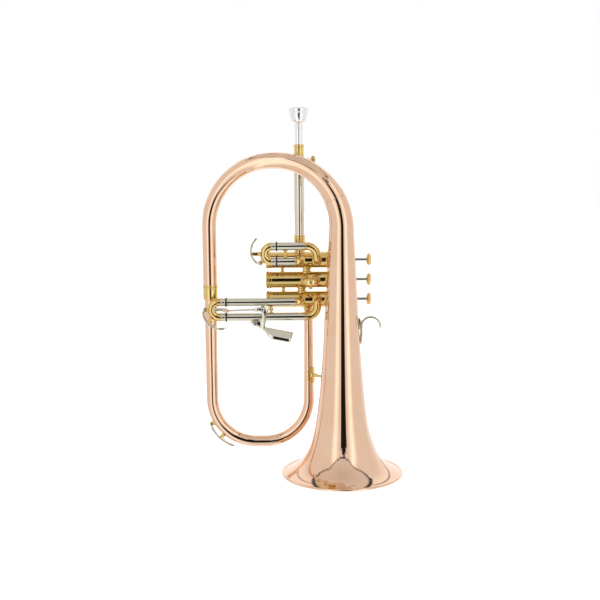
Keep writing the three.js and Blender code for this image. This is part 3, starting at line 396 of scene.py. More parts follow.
def handled_polish():
    """Marks of making and handling on polished metal: drawn hairlines, haze from hands, tiny specks."""
    group, given, out = new_tree(
        "handled_polish", "ShaderNodeTree",
        [("Place", "Vector", None), ("Stretch", "Vector", (1, 1, 0.02)), ("Hairline Size", "Float", 2500),
         ("Haze Size", "Float", 45)],
        [("Hairlines", "Float"), ("Haze", "Float"), ("Specks", "Float"), ("Undulation", "Float")],
    )
    drawn = vector_maths(group, "MULTIPLY", given["Place"], given["Stretch"])
    hairlines = noise(group, drawn, given["Hairline Size"], 3, 0.6)
    group.links.new(hairlines, out["Hairlines"])
    haze = noise(group, given["Place"], given["Haze Size"], 4, 0.62)
    group.links.new(ramp(group, haze, 0.42, 0.75), out["Haze"])
    specks = noise(group, given["Place"], 900, 1, 0.4)
    group.links.new(ramp(group, specks, 0.74, 0.8), out["Specks"])
    group.links.new(noise(group, given["Place"], 22, 1, 0.4), out["Undulation"])
    return group


def tarnish_tone():
    """Shifts a metal's colour a little between its fresh and its warmer, aged tone."""
    group, given, out = new_tree("tarnish_tone", "ShaderNodeTree",
                                 [("Place", "Vector", None), ("Fresh", "Color", None),
                                  ("Aged", "Color", None), ("Patch Size", "Float", 30),
                                  ("Amount", "Float", 0.3)], [("Colour", "Color")])
    patches = ramp(group, noise(group, given["Place"], given["Patch Size"], 3, 0.6), 0.35, 0.7)
    group.links.new(mix_colour(group, maths(group, "MULTIPLY", patches, given["Amount"]), given["Fresh"],
                               given["Aged"]), out["Colour"])
    return group


HANDLED_POLISH = handled_polish()
TARNISH_TONE = tarnish_tone()


def placed_group(material, group, **inputs):
    """Places an effect in a material, with its own values."""
    node = material.node_tree.nodes.new("ShaderNodeGroup")
    node.node_tree = group
    for label, source in inputs.items():
        feed(material.node_tree, node.inputs[label.replace("_", " ")], source)
    return node.outputs


def raised(tree, shader, height, strength):
    """Lets a height show as relief."""
    bump = tree.nodes.new("ShaderNodeBump")
    bump.inputs["Distance"].default_value = 0.0002
    bump.inputs["Strength"].default_value = strength
    tree.links.new(height, bump.inputs["Height"])
    tree.links.new(bump.outputs["Normal"], shader.inputs["Normal"])


WAVE_DEPTH = 0.1
HAIRLINE_DEPTH = 0.0002


def metal(name, fresh, aged, roughness, coat=0.0, along_sweep=True, stretch=(1, 1, 0.02), amount=0.35):
    """A polished metal. Its marks follow the sweep of the piece, or the axes of the room."""
    material = bpy.data.materials.new(name)
    material.use_nodes = True
    tree = material.node_tree
    shader = tree.nodes["Principled BSDF"]
    if along_sweep:
        read = tree.nodes.new("ShaderNodeAttribute")
        read.attribute_name = "straight"
        place = read.outputs["Vector"]
    else:
        place = tree.nodes.new("ShaderNodeTexCoord").outputs["Object"]
    tone = placed_group(material, TARNISH_TONE, Place=place, Fresh=(*fresh, 1), Aged=(*aged, 1),
                        Amount=amount)
    marks = placed_group(material, HANDLED_POLISH, Place=place, Stretch=stretch)
    tree.links.new(tone["Colour"], shader.inputs["Base Color"])
    dull = maths(tree, "MULTIPLY_ADD", marks["Haze"], 0.035, roughness)
    dull = maths(tree, "MULTIPLY_ADD", marks["Hairlines"], 0.015, dull)
    dull = maths(tree, "MULTIPLY_ADD", marks["Specks"], 0.05, dull)
    tree.links.new(dull, shader.inputs["Roughness"])
    shader.inputs["Metallic"].default_value = 1
    shader.inputs["Coat Weight"].default_value = coat
    shader.inputs["Coat Roughness"].default_value = 0.04
    scratches = maths(tree, "MULTIPLY", marks["Hairlines"], HAIRLINE_DEPTH)
    raised(tree, shader, maths(tree, "MULTIPLY_ADD", marks["Undulation"], WAVE_DEPTH, scratches), 0.35)
    return material


ROSE_TONES = ((0.86, 0.585, 0.415), (0.81, 0.47, 0.30))
YELLOW_TONES = ((0.77, 0.565, 0.22), (0.66, 0.41, 0.115))
NICKEL_TONES = ((0.74, 0.70, 0.59), (0.64, 0.59, 0.45))
SILVER_TONES = ((0.90, 0.90, 0.89), (0.80, 0.79, 0.75))
STEEL_TONES = ((0.58, 0.59, 0.60), (0.46, 0.45, 0.43))
FINISH = {
    "rose_brass": metal("rose_brass", *ROSE_TONES, 0.045, coat=0.35),
    "yellow_brass": metal("yellow_brass", *YELLOW_TONES, 0.05, coat=0.35),
    "nickel_silver": metal("nickel_silver", *NICKEL_TONES, 0.06),
    "satin_nickel": metal("satin_nickel", *NICKEL_TONES, 0.22, amount=0.2),
    "silver_plate": metal("silver_plate", *SILVER_TONES, 0.03, amount=0.15),
    "satin_steel": metal("satin_steel", *STEEL_TONES, 0.16),
    "brass_plate": metal("brass_plate", *YELLOW_TONES, 0.06, coat=0.35, along_sweep=False,
                         stretch=(0.1, 1, 1)),
    "nickel_plate": metal("nickel_plate", *NICKEL_TONES, 0.1, along_sweep=False, stretch=(0.05, 1, 1)),
    # painted shade: a near-black finish for the rings at the slide legs' mouths, standing in for the dark
    # shadow line there
    "painted_shade_ring": metal("painted_shade_ring", (0.03, 0.03, 0.03), (0.015, 0.015, 0.015), 0.3),
    "steel_part": metal("steel_part", *STEEL_TONES, 0.2, along_sweep=False),
}


def soft_finish(name, fresh, aged, grain, roughness):
    """Cork and felt: a matt finish with a grain."""
    material = bpy.data.materials.new(name)
    material.use_nodes = True
    tree = material.node_tree
    shader = tree.nodes["Principled BSDF"]
    place = tree.nodes.new("ShaderNodeTexCoord").outputs["Object"]
    tone = placed_group(material, TARNISH_TONE, Place=place, Fresh=(*fresh, 1), Aged=(*aged, 1), Amount=0.9,
                        Patch_Size=grain)
    tree.links.new(tone["Colour"], shader.inputs["Base Color"])
    shader.inputs["Roughness"].default_value = roughness
    raised(tree, shader, noise(tree, place, grain * 2, 4, 0.7), 1)
    return material


FINISH["cork"] = soft_finish("cork", (0.42, 0.24, 0.12), (0.16, 0.08, 0.04), 1200, 0.85)
FINISH["felt"] = soft_finish("felt", (0.55, 0.53, 0.48), (0.32, 0.30, 0.27), 2500, 0.95)


# ---- paths ----
class Route:
    """Straight lines and arcs that a tube follows, as a maker bends it."""

    def __init__(self, start, heading):
        self.point = Vector(start)
        self.turn = Y.rotation_difference(Vector(heading))
        self.pieces = []
        self.stops = []
        self.length = 0

    def line(self, length):
        self.pieces.append((self.length, self.point.copy(), self.turn.copy(), None, None))
        return self.advance(length)

    def arc(self, radius, degrees, axis):
        length = radius * math.radians(degrees)
        self.pieces.append((self.length, self.point.copy(), self.turn.copy(), radius, Vector(axis)))
        steps = max(4, round(degrees / 3))
        self.stops += [self.length + length * step / steps for step in range(steps + 1)]
        return self.advance(length)

    def advance(self, length):
        self.length += length
        self.point, self.turn = self.frame(self.length)
        return self

    def frame(self, distance):
        """The point and the turn at a distance along the route."""
        piece = next((p for p in reversed(self.pieces) if p[0] <= distance), self.pieces[0])
        start, point, turn, radius, axis = piece
        along = distance - start
        heading = turn @ Y
        if radius is None:
            return point + heading * along, turn
        to_centre = axis.cross(heading) * radius
        spin = Quaternion(axis, along / radius)
        return point + to_centre - spin @ to_centre, spin @ turn

    def station(self, distance):
        point, turn = self.frame(distance)
        return point, turn @ Z, turn @ X


class Wire:
    """A path through points, with a frame that doesn't twist."""

    def __init__(self, points, up=None):
        self.points = [Vector(p) for p in points]
        self.marks = [0]
        for a, b in zip(self.points, self.points[1:]):
            self.marks.append(self.marks[-1] + (b - a).length)
        self.length = self.marks[-1]
        self.stops = self.marks
        headings = []
        for index in range(len(self.points)):
            before = self.points[max(index - 1, 0)]
            after = self.points[min(index + 1, len(self.points) - 1)]
            headings.append((after - before).normalized())
        side = Vector(up) if up else headings[0].orthogonal()
        self.frames = []
        for heading in headings:
            side = (side - heading * side.dot(heading)).normalized()
            self.frames.append((side.copy(), heading.cross(side)))

    def station(self, distance):
        """The point, side and lift at a distance along the path."""
        index = next((i for i in range(len(self.marks) - 1) if distance <= self.marks[i + 1]),
                     len(self.marks) - 2)
        span = max(self.marks[index + 1] - self.marks[index], 1e-9)
        share = (distance - self.marks[index]) / span
        point = self.points[index].lerp(self.points[index + 1], share)
        first, second = self.frames[index], self.frames[index + 1]
        side, lift = (first[axis].lerp(second[axis], share).normalized() for axis in (0, 1))
        return point, side, lift


def axle(start, heading):
    """An endless straight path."""
    return Route(start, heading).line(1e6)


# ---- outlines: rows of (distance along the path, radius) ----
def eased(rows, ease, closed):
    """Rounds the corners of an outline."""
    made = []
    count = len(rows)
    for index, row in enumerate(rows):
        here = Vector(row)
        if not closed and index in (0, count - 1):
            made.append(here)
            continue
        back = Vector(rows[index - 1]) - here
        ahead = Vector(rows[(index + 1) % count]) - here
        if min(back.length, ahead.length) < 1e-6 or math.pi - back.angle(ahead) < 0.3:
            made.append(here)
            continue
        reach = min(ease, 0.42 * back.length, 0.42 * ahead.length)
        first = here + back.normalized() * reach
        last = here + ahead.normalized() * reach
        for step in range(5):
            t = step / 4
            made.append(first * (1 - t) ** 2 + here * 2 * t * (1 - t) + last * t * t)
    return made


def stepped(rows, stops):
    """Adds a row wherever the path bends between two rows."""
    made = []
    for first, second in zip(rows, rows[1:]):
        made.append(first)
        low, high = sorted((first[0], second[0]))
        between = [stop for stop in stops if low + 0.05 < stop < high - 0.05]
        if first[0] > second[0]:
            between.reverse()
        for stop in between:
            share = (stop - first[0]) / (second[0] - first[0])
            made.append(first.lerp(second, share))
    made.append(rows[-1])
    return made


def sweep(name, path, rows, finish, body="horn", nodes=(), sides=48, ease=0.3, closed=False, flat=1.0,
          squareness=1.0):
    """A piece whose rings follow a path. flat is the ring's height as a share of its width."""
    outline = eased(rows, ease, closed)
    if closed:
        outline.append(outline[0])
    outline = stepped(outline, path.stops)
    stations = [(*path.station(along), radius, along) for along, radius in outline]
    mesh = bpy.data.meshes.new(name)
    mesh.from_pydata([ORIGIN + point * MM for point, _, _, _, _ in stations], [], [])
    for label, kind in (("side", "FLOAT_VECTOR"), ("lift", "FLOAT_VECTOR"), ("along", "FLOAT")):
        mesh.attributes.new(label, kind, "POINT")
    for index, (_, across, upward, radius, along) in enumerate(stations):
        mesh.attributes["side"].data[index].vector = across * radius * MM
        mesh.attributes["lift"].data[index].vector = upward * radius * flat * MM
        mesh.attributes["along"].data[index].value = along * MM
    obj = worked(placed(name, mesh), RING_SWEEP, Sides=sides, Squareness=squareness, Finish=FINISH[finish])
    return fitted(obj, body, nodes)


def tube(name, path, outside, inside, finish, **settings):
    """A hollow piece: up the outside, back down the bore."""
    return sweep(name, path, [*outside, *reversed(inside)], finish, closed=True, **settings)


def rounded_bar(length, radius):
    """The outline of a bar with rounded ends."""
    return [(0, 0), (0, radius * 0.7), (radius * 0.3, radius), (length - radius * 0.3, radius),
            (length, radius * 0.7), (length, 0)]


def pin(name, start, heading, length, radius, finish, **settings):
    """A plain round bar."""
    rows = [(0, 0), (0, radius), (length, radius), (length, 0)]
    return sweep(name, axle(start, heading), rows, finish, **settings)


def wire(name, points, radius, **settings):
    """A spring wire through points."""
    path = Wire(points)
    return sweep(name, path, rounded_bar(path.length, radius), "satin_steel", sides=8, ease=radius * 0.4,
                 **settings)


def knurl(name, centre, axis, radius, width, ridges, body="horn", depth=0.3):
    """A gripping band: fine ridges round a turned piece."""
    axis = Vector(axis)
    out = axis.orthogonal().normalized()
    across = axis.cross(out)
    half = math.pi * radius / ridges * 0.72
    root = -0.4
    slope = 0.3
    corners = []
    for along, height in ((-width / 2, root), (-width / 2 + slope, depth), (width / 2 - slope, depth),
                          (width / 2, root)):
        for sideways in (-1, 0, 1):
            rise = height if sideways == 0 else root
            corners.append((out * (radius + rise) + across * (half * sideways) + axis * along) * MM)
    faces = []
    for row in range(3):
        for column in range(2):
            first = row * 3 + column
            faces.append((first, first + 1, first + 4, first + 3))
    faces += [(2, 1, 0), (9, 10, 11), (0, 3, 6, 9, 11, 8, 5, 2)]
    shape = bmesh.new()
    points = [shape.verts.new(corner) for corner in corners]
    for face in faces:
        shape.faces.new([points[corner] for corner in face])
    obj = worked(formed(name, shape), KNURL_RING, Centre=ORIGIN + Vector(centre) * MM, Axis=axis,
                 Ridges=ridges, Finish=FINISH["brass_plate"])
    return fitted(obj, body, ())


def plate(name, outline, back, thickness, finish, body="horn", nodes=(), bevel=0.35):
    """A plate cut to an outline in an upright plane, from y = back towards the front, with softened edges."""
    shape = bmesh.new()
    ring = [shape.verts.new((x, back, z)) for x, z in outline]
    face = shape.faces.new(ring)
    moved = bmesh.ops.extrude_face_region(shape, geom=[face])["geom"]
    for vertex in (v for v in moved if isinstance(v, bmesh.types.BMVert)):
        vertex.co.y -= thickness
    for vertex in shape.verts:
        vertex.co = ORIGIN + vertex.co * MM
    obj = formed(name, shape, finish)
    softened(obj, bevel)
    return fitted(obj, body, nodes)


def thickened(obj, thickness, offset):
    """Gives a sheet its wall: offset is -1 for behind the sheet and 0 for both sides of it."""
    wall = obj.modifiers.new("wall", "SOLIDIFY")
    wall.thickness = thickness * MM
    wall.offset = offset


def softened(obj, bevel):
    """Rounds the sharp edges of a piece and shades the rest smoothly."""
    modifier = obj.modifiers.new("edges", "BEVEL")
    modifier.width = bevel * MM
    modifier.segments = 3
    modifier.limit_method = "ANGLE"
    modifier.angle_limit = math.radians(40)
    modifier.harden_normals = True
    smoothed(applied(obj), 32)


def smoothed(mesh, degrees):
    """Shades a mesh smoothly, apart from the edges that turn further than the angle."""
    for polygon in mesh.polygons:
        polygon.use_smooth = True
    mesh.set_sharp_from_angle(angle=math.radians(degrees))


# ---- bell and bows ----
bow_span = math.hypot(BRANCH_X, BELL_Y)
towards_branch = Vector((BRANCH_X, -BELL_Y, 0)) / bow_span
bow_axis = Z.cross(towards_branch)
bell_route = Route((0, BELL_Y, 0), Z)
bell_route.line(BELL_STEM).arc(BOW_RADIUS, 90, bow_axis).line(bow_span - 2 * BOW_RADIUS)
bell_route.arc(BOW_RADIUS, 90, bow_axis).line(BELL_STEM - FERRULE[1] + 3)
seam = BELL_STEM + BOW_RADIUS * math.radians(SEAM_ANGLE)


def bell_radius(height):
    """Outside radius of the bell's sheet at a height above the floor."""
    rise = height - FLARE_LIFT
    flare = (1 + rise / FLARE_DEPTH) ** FLARE_POWER
    return BELL_THROAT - BELL_TAPER * rise + (SHEET_RADIUS - BELL_THROAT) / flare


def bell_slope(height):
    """How fast the bell's radius changes with height."""
    return (bell_radius(height + 0.05) - bell_radius(height - 0.05)) / 0.1


def bow_radius(distance):
    """Outside radius of the rear bow at a distance along the bell's route."""
    start = bell_radius(seam) - BRANCH_RADIUS
    return BRANCH_RADIUS + start * math.exp(-(distance - seam) / BOW_DECAY)


def make_bell():
    """The bell, a thin sheet with a beaded rim."""
    heights = [2.3 + (seam - 2.3) * (step / 90) ** 2.2 for step in range(91)]
    bead = []
    for step in range(17):
        angle = math.radians(-165 + 310 * step / 16)
        bead.append((RIM_WIRE + RIM_WIRE * math.sin(angle),
                     RIM_RADIUS - RIM_WIRE + RIM_WIRE * math.cos(angle)))
    outside = [(height, bell_radius(height)) for height in heights]
    inside = []
    for height in heights:
        slope = bell_slope(height) if height < BELL_STEM else 0
        inwards = BELL_WALL / math.hypot(1, slope)
        inside.append((height + inwards * slope, bell_radius(height) - inwards))
    tube("bell_sheet", bell_route, [*bead, *outside], inside, "rose_brass", nodes=["bell"], sides=160,
         ease=0.2)


def make_rear_bow():
    """The bow from the bell's seam to the ferrule, with a tenon inside the seam."""
    start = seam + 0.22
    stops = [start, start + 0.6, *[s for s in bell_route.stops if s > seam + 2]]
    stops += [bell_route.stops[-1] + (bell_route.length - bell_route.stops[-1]) * step / 4
              for step in range(1, 5)]
    outside = [(stop, bow_radius(stop)) for stop in stops]
    tenon = bell_radius(seam) - BELL_WALL - 0.1
    inside = [(seam - 5, tenon - 0.5), *[(stop, bow_radius(stop) - TUBE_WALL - 0.6) for stop in stops[2:]]]
    tube("rear_bow_tube", bell_route, [(seam - 5, tenon), (start, tenon), *outside], inside, "rose_brass",
         nodes=["rear_bow"], sides=80, ease=0.12)


def make_front_bow():
    """The bow from the ferrule to the third valve."""
    top = FERRULE[0] + 9
    bend_z = FRONT_BOW_BOTTOM + FRONT_BOW_BEND
    flat = FRONT_BOW_END_X - BRANCH_X - 2 * FRONT_BOW_BEND
    route = Route((BRANCH_X, 0, top), -Z)
    route.line(top - bend_z).arc(FRONT_BOW_BEND, 90, -Y).line(flat).arc(FRONT_BOW_BEND, 90, -Y)
    route.line(VALVE_Z[2] - CASING_RADIUS + SOLDER_DEPTH - bend_z)
    quarter = math.pi / 2 * FRONT_BOW_BEND
    rows = [
        (0, 7.9), (top - 176, 7.9), (top - 152, 7.6), (top - bend_z, 7.6),
        (top - bend_z + quarter + flat / 2, 7.15), (top - bend_z + 2 * quarter + flat, 6.75),
        (route.length - (VALVE_Z[2] - BRACE_Z) + 8.8, 6.2), (route.length, 5.6),
    ]
    tube("front_bow_tube", route, rows, [(along, radius - TUBE_WALL) for along, radius in rows], "rose_brass",
         nodes=["front_bow"], sides=72, ease=0.1)
    tube("front_bow_flange", axle((FRONT_BOW_END_X, 0, VALVE_Z[2] - CASING_RADIUS - 3.2), Z),
         [(0, 5.9), (0.5, 6.5), (2.2, 6.5), (4.6, 7)], [(0, 5.5), (4.6, 5.5)], "yellow_brass")


def make_ferrule():
    """The ringed sleeve that joins the two bows."""
    radius = FERRULE_RADIUS
    length = FERRULE[1] - FERRULE[0]
    outside = [(0, radius - 0.3), (0.5, radius), (length - 5, radius), (length - 4.6, radius + 0.55),
               (length - 3.9, radius + 0.6), (length - 3.2, radius + 0.5), (length - 2.9, radius - 0.05),
               (length - 2.5, radius), (length - 2.1, radius + 0.55), (length - 1, radius + 0.6),
               (length, radius + 0.25)]
    tube("bow_ferrule_ring", axle((BRANCH_X, 0, FERRULE[0]), Z), outside,
         [(0, 8), (9, 8), (9, 7.3), (length, 7.3)], "yellow_brass", nodes=["bow_ferrule"], sides=72,
         ease=0.25)


# ---- valves ----
def make_valve(number):
    """One valve, from its casing to its button."""
    z = VALVE_Z[number - 1]
    body = f"valve_{number}"
    casing_length = CASING[1] - CASING[0]
    start = (CASING[0], 0, z)
    outside = [(0, CASING_RADIUS), (0, CASING_BAND), (2.6, CASING_BAND), (2.9, CASING_RADIUS),
               (casing_length - 4.2, CASING_RADIUS), (casing_length - 3.9, CASING_BAND),
               (casing_length, CASING_BAND)]
    tube(f"casing_{number}", axle(start, X), outside, [(0, CASING_BORE), (casing_length, CASING_BORE)],
         "yellow_brass", nodes=[f"valve_casing_{number}"], sides=72, ease=0.25)
    # bottom cap: a dished end with a hole, a gripping band and a brim
    cap = [(0, 2.5), (0, 6.6), (0.4, 8.2), (0, 9.6), (0.5, 10.5), (1.2, 10.9), (1.4, 10.55), (3.3, 10.55),
           (3.5, 11), (4.1, 11), (4.2, 8.4), (8.4, 8.4)]
    cap_start = CASING[0] - CAP_LENGTH
    tube(f"bottom_cap_{number}_body", axle((cap_start, 0, z), X), cap,
         [(0, 2.5), (1.8, 2.5), (1.8, 7), (8.4, 7)], "yellow_brass", nodes=[f"bottom_cap_{number}"],
         sides=72, ease=0.2)
    knurl(f"bottom_cap_{number}_grip", (cap_start + 2.35, 0, z), X, 10.55, 1.8, 72)
    # top cap
    dome = [(-4, 8.4), (0.2, 8.4), (0.2, 11.2), (1.1, 11.3), (1.3, 10.9), (4, 10.9), (4.2, 11.3), (5, 11.2),
            (5.8, 9.8), (6.6, 8.4), (8, 7.6), (8.7, 6.6), (8.7, 2.6)]
    tube(f"top_cap_{number}_body", axle((CASING[1], 0, z), X), dome, [(-4, 2.6)], "yellow_brass",
         nodes=[f"top_cap_{number}"], sides=72, ease=0.25)
    knurl(f"top_cap_{number}_grip", (CASING[1] + 2.65, 0, z), X, 10.9, 2.6, 72)
    tube(f"top_cap_{number}_felt", axle((TOP_CAP_END, 0, z), X), [(0, 2.3), (0, 5.2)],
         [(1.5, 2.3), (1.5, 5.2)], "felt", sides=40, ease=0.4)
    # stem and button
    pin(f"stem_{number}", (0, 0, z), X, BUTTON_BACK, STEM_RADIUS, "satin_steel", body=body,
        nodes=[f"valve_stem_{number}"], sides=32, ease=0.2)
    button = [(0, 0), (0, 2.9), (0.3, 4.6), (0.9, 6.3), (1.9, 7.5), (3.1, 7.9), (4.4, 7.7), (5.4, 7),
              (6.1, 6), (6.3, 5.2), (6, 4.6), (5.8, 3.6), (5.7, 0)]
    sweep(f"button_{number}", axle((BUTTON_BACK, 0, z), X), button, "yellow_brass", body=body,
          nodes=[f"finger_button_{number}"], sides=56, ease=0.45)
    # spring under the piston
    steps = 20 * SPRING_TURNS
    travel = PISTON_BOTTOM - SPRING_FOOT
    points = []
    for step in range(steps + 1):
        angle = 2 * math.pi * step * SPRING_TURNS / steps
        points.append((SPRING_FOOT + (travel - 0.9) * step / steps, SPRING_RADIUS * math.cos(angle),
                       z + SPRING_RADIUS * math.sin(angle)))
    spring = wire(f"spring_{number}", points, 0.5, nodes=[f"valve_spring_{number}"])
    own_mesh(spring)


def make_valve_links():
    """The crossover tubes and spacers between neighbouring casings."""
    for index in (0, 1):
        name = f"{index + 1}{index + 2}"
        reach = CASING_RADIUS - SOLDER_DEPTH
        span = VALVE_Z[index] - VALVE_Z[index + 1] - 2 * reach
        start = (CROSSOVER_X[index], 0, VALVE_Z[index + 1] + reach)
        lip = 1.9
        outside = [(0, 6.3), (lip, 6.2), (lip + 0.5, 5.3), (span - lip - 0.5, 5.3), (span - lip, 6.2),
                   (span, 6.3)]
        tube(f"crossover_{name}", axle(start, Z), outside, [(0, 4.2), (span, 4.2)], "yellow_brass",
             nodes=[f"crossover_tube_{name}"], sides=48, ease=0.4)
        middle = span / 2
        post = [(0, 0), (0, 3.2), (1.5, 3), (middle - 1.4, 1.5), (middle - 0.8, 2.2), (middle + 0.8, 2.2),
                (middle + 1.4, 1.5), (span - 1.5, 3), (span, 3.2), (span, 0)]
        sweep(f"spacer_{name}", axle((SPACER_X[index], 0, VALVE_Z[index + 1] + reach), Z), post,
              "yellow_brass", nodes=[f"casing_spacer_{name}"], sides=32, ease=0.5)


# ---- leadpipe and mouthpiece ----
def make_leadpipe():
    """The leadpipe, from its socket on the first valve upwards."""
    low = VALVE_Z[0] + CASING_RADIUS - SOLDER_DEPTH
    top = SOCKET_TOP - low
    seat = SLEEVE_BOTTOM - 0.3 - low
    socket = [(0, 7), (2.2, 6.8), (2.8, 6), (6.2, 6), (7.2, 7), (top - 4.6, 7), (top - 4.2, 7.45),
              (top - 3.4, 7.45), (top - 3, 7), (top - 1.4, 7), (top - 1.1, 7.5), (top, 7.4)]
    tube("leadpipe_socket_body", axle((LEADPIPE_X, 0, low), Z), socket, [(0, 4.2), (seat, 4.2), (seat, 6.4),
         (top, 6.4)], "yellow_brass", nodes=["leadpipe_socket"], sides=56)
    sleeve = COLLAR_BOTTOM + 0.4 - SLEEVE_BOTTOM
    tube("tuning_sleeve_tube", axle((LEADPIPE_X, 0, SLEEVE_BOTTOM), Z), [(0, 6.25), (sleeve, 6.25)],
         [(0, 5.4), (sleeve, 5.4)], "nickel_silver", nodes=["tuning_sleeve"], sides=56)
    tube("sleeve_collar_body", axle((LEADPIPE_X, 0, COLLAR_BOTTOM), Z),
         [(0, 6.7), (0.4, 7.2), (1.6, 7.2), (2, 6.9), (10, 6.9), (10.4, 7.3), (11.6, 7.3), (12, 6.9)],
         [(0, 5.4), (12, 5.4)], "yellow_brass", nodes=["sleeve_collar"], sides=56)
    sweep("sleeve_collar_boss", axle((LEADPIPE_X + 5.9, 0, SCREW_Z), X),
          [(0, 0), (0, 4.2), (1.6, 3.6), (2.6, 2.9), (7.2, 2.9), (7.2, 1.6), (7.2, 0)], "yellow_brass",
          sides=32)
    screw_start = LEADPIPE_X + 5.4
    reach = -37 - screw_start
    sweep("thumb_screw_knob", axle((screw_start, 0, SCREW_Z), X),
          [(0, 0), (0, 1.4), (reach - 0.6, 1.4), (reach - 0.6, 2.6), (reach, 2.9), (reach, 4.9),
           (reach + 0.7, 5.3), (reach + 4.7, 5.3), (reach + 5.5, 4.7), (reach + 5.2, 3.4),
           (reach + 5.5, 2.4), (reach + 5.5, 0)], "yellow_brass", body="thumb_screw", nodes=["thumb_screw"],
          sides=48)
    knurl("thumb_screw_grip", (-34.4, 0, SCREW_Z), X, 5.2, 3.6, 32, body="thumb_screw")
    pipe = RECEIVER_BOTTOM - 0.2 - LEADPIPE_BOTTOM
    tube("leadpipe_tube", axle((LEADPIPE_X, 0, LEADPIPE_BOTTOM), Z), [(0, 5.1), (pipe, 5.1)],
         [(0, 4.5), (pipe, 4.5)], "nickel_silver", body="leadpipe_slide", nodes=["leadpipe"], sides=56)
    receiver = [(0, 6), (0.5, 6.6), (1.6, 6.6), (2, 6.15), (3, 6.05), (3.3, 6.5), (4.2, 6.5), (4.5, 6.05),
                (11, 6.2), (11.4, 6.65), (12.6, 6.65), (13, 6.3), (13.4, 6.65), (14.9, 6.65), (15.3, 6.2)]
    tube("receiver_body", axle((LEADPIPE_X, 0, RECEIVER_BOTTOM), Z), receiver, [(0, 4.7), (15.3, 5)],
         "yellow_brass", body="leadpipe_slide", nodes=["mouthpiece_receiver"], sides=64, ease=0.25)
    outside = [(0, 4.1), (18.8, 4.65), (20, 4.66), (36, 5), (37.6, 5.1), (38.1, 5.7), (38.9, 5.9),
               (39.7, 5.6), (40.1, 5.1), (41.4, 5.1), (41.9, 5.6), (42.5, 5.7), (43.1, 5.5), (43.6, 5.3),
               (44.4, 5.9), (45.4, 7.2), (47, 8.6), (49, 9.75), (51.5, 10.6), (54.5, 11.2), (57.2, 11.5),
               (58.2, 11.75), (58.9, 12.4), (59.9, 12.85), (61, 13), (62.4, 12.95), (63.4, 12.6),
               (64.05, 12), (64.38, 11.2), (64.4, 10.5)]
    inside = [(0, 3.2), (42.4, 1.9), (46, 2.4), (49, 3.4), (53, 5.4), (57, 7.2), (60, 8.1), (62.4, 8.6),
              (63.6, 9), (64.2, 9.6)]
    tube("mouthpiece_body", axle((LEADPIPE_X, 0, SHANK_BOTTOM), Z), outside, inside, "silver_plate",
         body="mouthpiece", nodes=["mouthpiece"], sides=96, ease=0.35)


# ---- slides ----
def make_leg(name, node, slide, height, towards, valve, long):
    """An outer leg: nickel tube with a ring at its mouth, painted near-black as shade, then a brass bend into
    the front of its valve.
    """
    bend = BEND_RADIUS if long else KNUCKLE_RADIUS
    end_x = BEND_X if long else KNUCKLE_X
    straight = end_x - bend - slide["mouth"]
    joint = straight - (3 if long else 1.5)
    route = Route((slide["mouth"], SLIDE_Y, height), X).line(straight)
    if long:
        drop = abs(VALVE_Z[valve] - height) - BEND_RADIUS - KNUCKLE_RADIUS
        route.arc(bend, 90, X.cross(towards)).line(max(drop, 0)).arc(KNUCKLE_RADIUS, 90, towards.cross(Y))
    else:
        route.arc(bend, 90, Z)
    route.line(-SLIDE_Y - KNUCKLE_RADIUS - CASING_RADIUS + SOLDER_DEPTH)
    end = joint + 0.3
    tube(f"{name}_tube", route, [(0, LEG_RADIUS), (end, LEG_RADIUS)], [(0, LEG_BORE), (end, LEG_BORE)],
         "nickel_silver", nodes=[node], sides=56)
    # the ring is painted near-black, as shade at the leg's mouth
    tube(f"{name}_ring", route, [(0, 5.25), (0, 6.3), (1.3, 6.3), (1.3, 5.25)], [(0.65, 5.2)], "painted_shade_ring",
         sides=56, ease=0.15)
    tube(f"{name}_bend", route, [(joint, 5.3), (joint, 5.65), (joint + 1.2, 5.65),
                                 (joint + 1.6, CROOK_RADIUS), (route.length, CROOK_RADIUS)],
         [(joint, 4.2), (route.length, 4.2)], "yellow_brass", nodes=[node], sides=56, ease=0.2)


def port_flange(name, x, valve):
    """A soldered rim where a tube enters a casing."""
    tube(name, axle((x, -CASING_RADIUS - 1.1, VALVE_Z[valve]), Y),
         [(0, 5.1), (0.3, 5.9), (1.4, 6.3), (2.6, 6.6)], [(0, 5), (2.6, 5)], "yellow_brass", sides=48)


def make_crook(name, node, slide, body):
    """The U that pulls out: nickel inner legs with a wide collar, and a brass bend."""

    def from_far_end(rows):
        """The same outline, counted from the route's other end."""
        return [(route.length - along, radius) for along, radius in reversed(rows)]

    straight = INNER_END - slide["centre"]
    bend = (slide["high"] - slide["low"]) / 2
    route = Route((INNER_END, SLIDE_Y, slide["low"]), -X).line(straight).arc(bend, 180, Y).line(straight)
    collar = INNER_END - slide["mouth"] + 0.25
    collar_end = collar + 6.2
    outside = [(0, INNER_RADIUS), (collar, INNER_RADIUS), (collar, 5.2), (collar + 0.3, 5.45),
               (collar + 1.1, 5.45), (collar + 1.4, LEG_RADIUS), (collar_end - 1.6, LEG_RADIUS),
               (collar_end - 1.2, 5.6), (collar_end - 0.3, 5.6), (collar_end, 5.2)]
    inside = [(0, INNER_BORE), (collar_end, INNER_BORE)]
    lower = ("lower", outside, inside)
    upper = ("upper", from_far_end(outside), from_far_end(inside))
    for label, rows, bore in (lower, upper):
        tube(f"{name}_{label}_leg", route, rows, bore, "nickel_silver", body=body, nodes=[node], sides=56,
             ease=0.2)
    first = collar_end - 0.2
    last = route.length - first
    tube(f"{name}_bend", route, [(first, CROOK_RADIUS), (last, CROOK_RADIUS)], [(first, 4), (last, 4)],
         "yellow_brass", body=body, nodes=[node], sides=56)


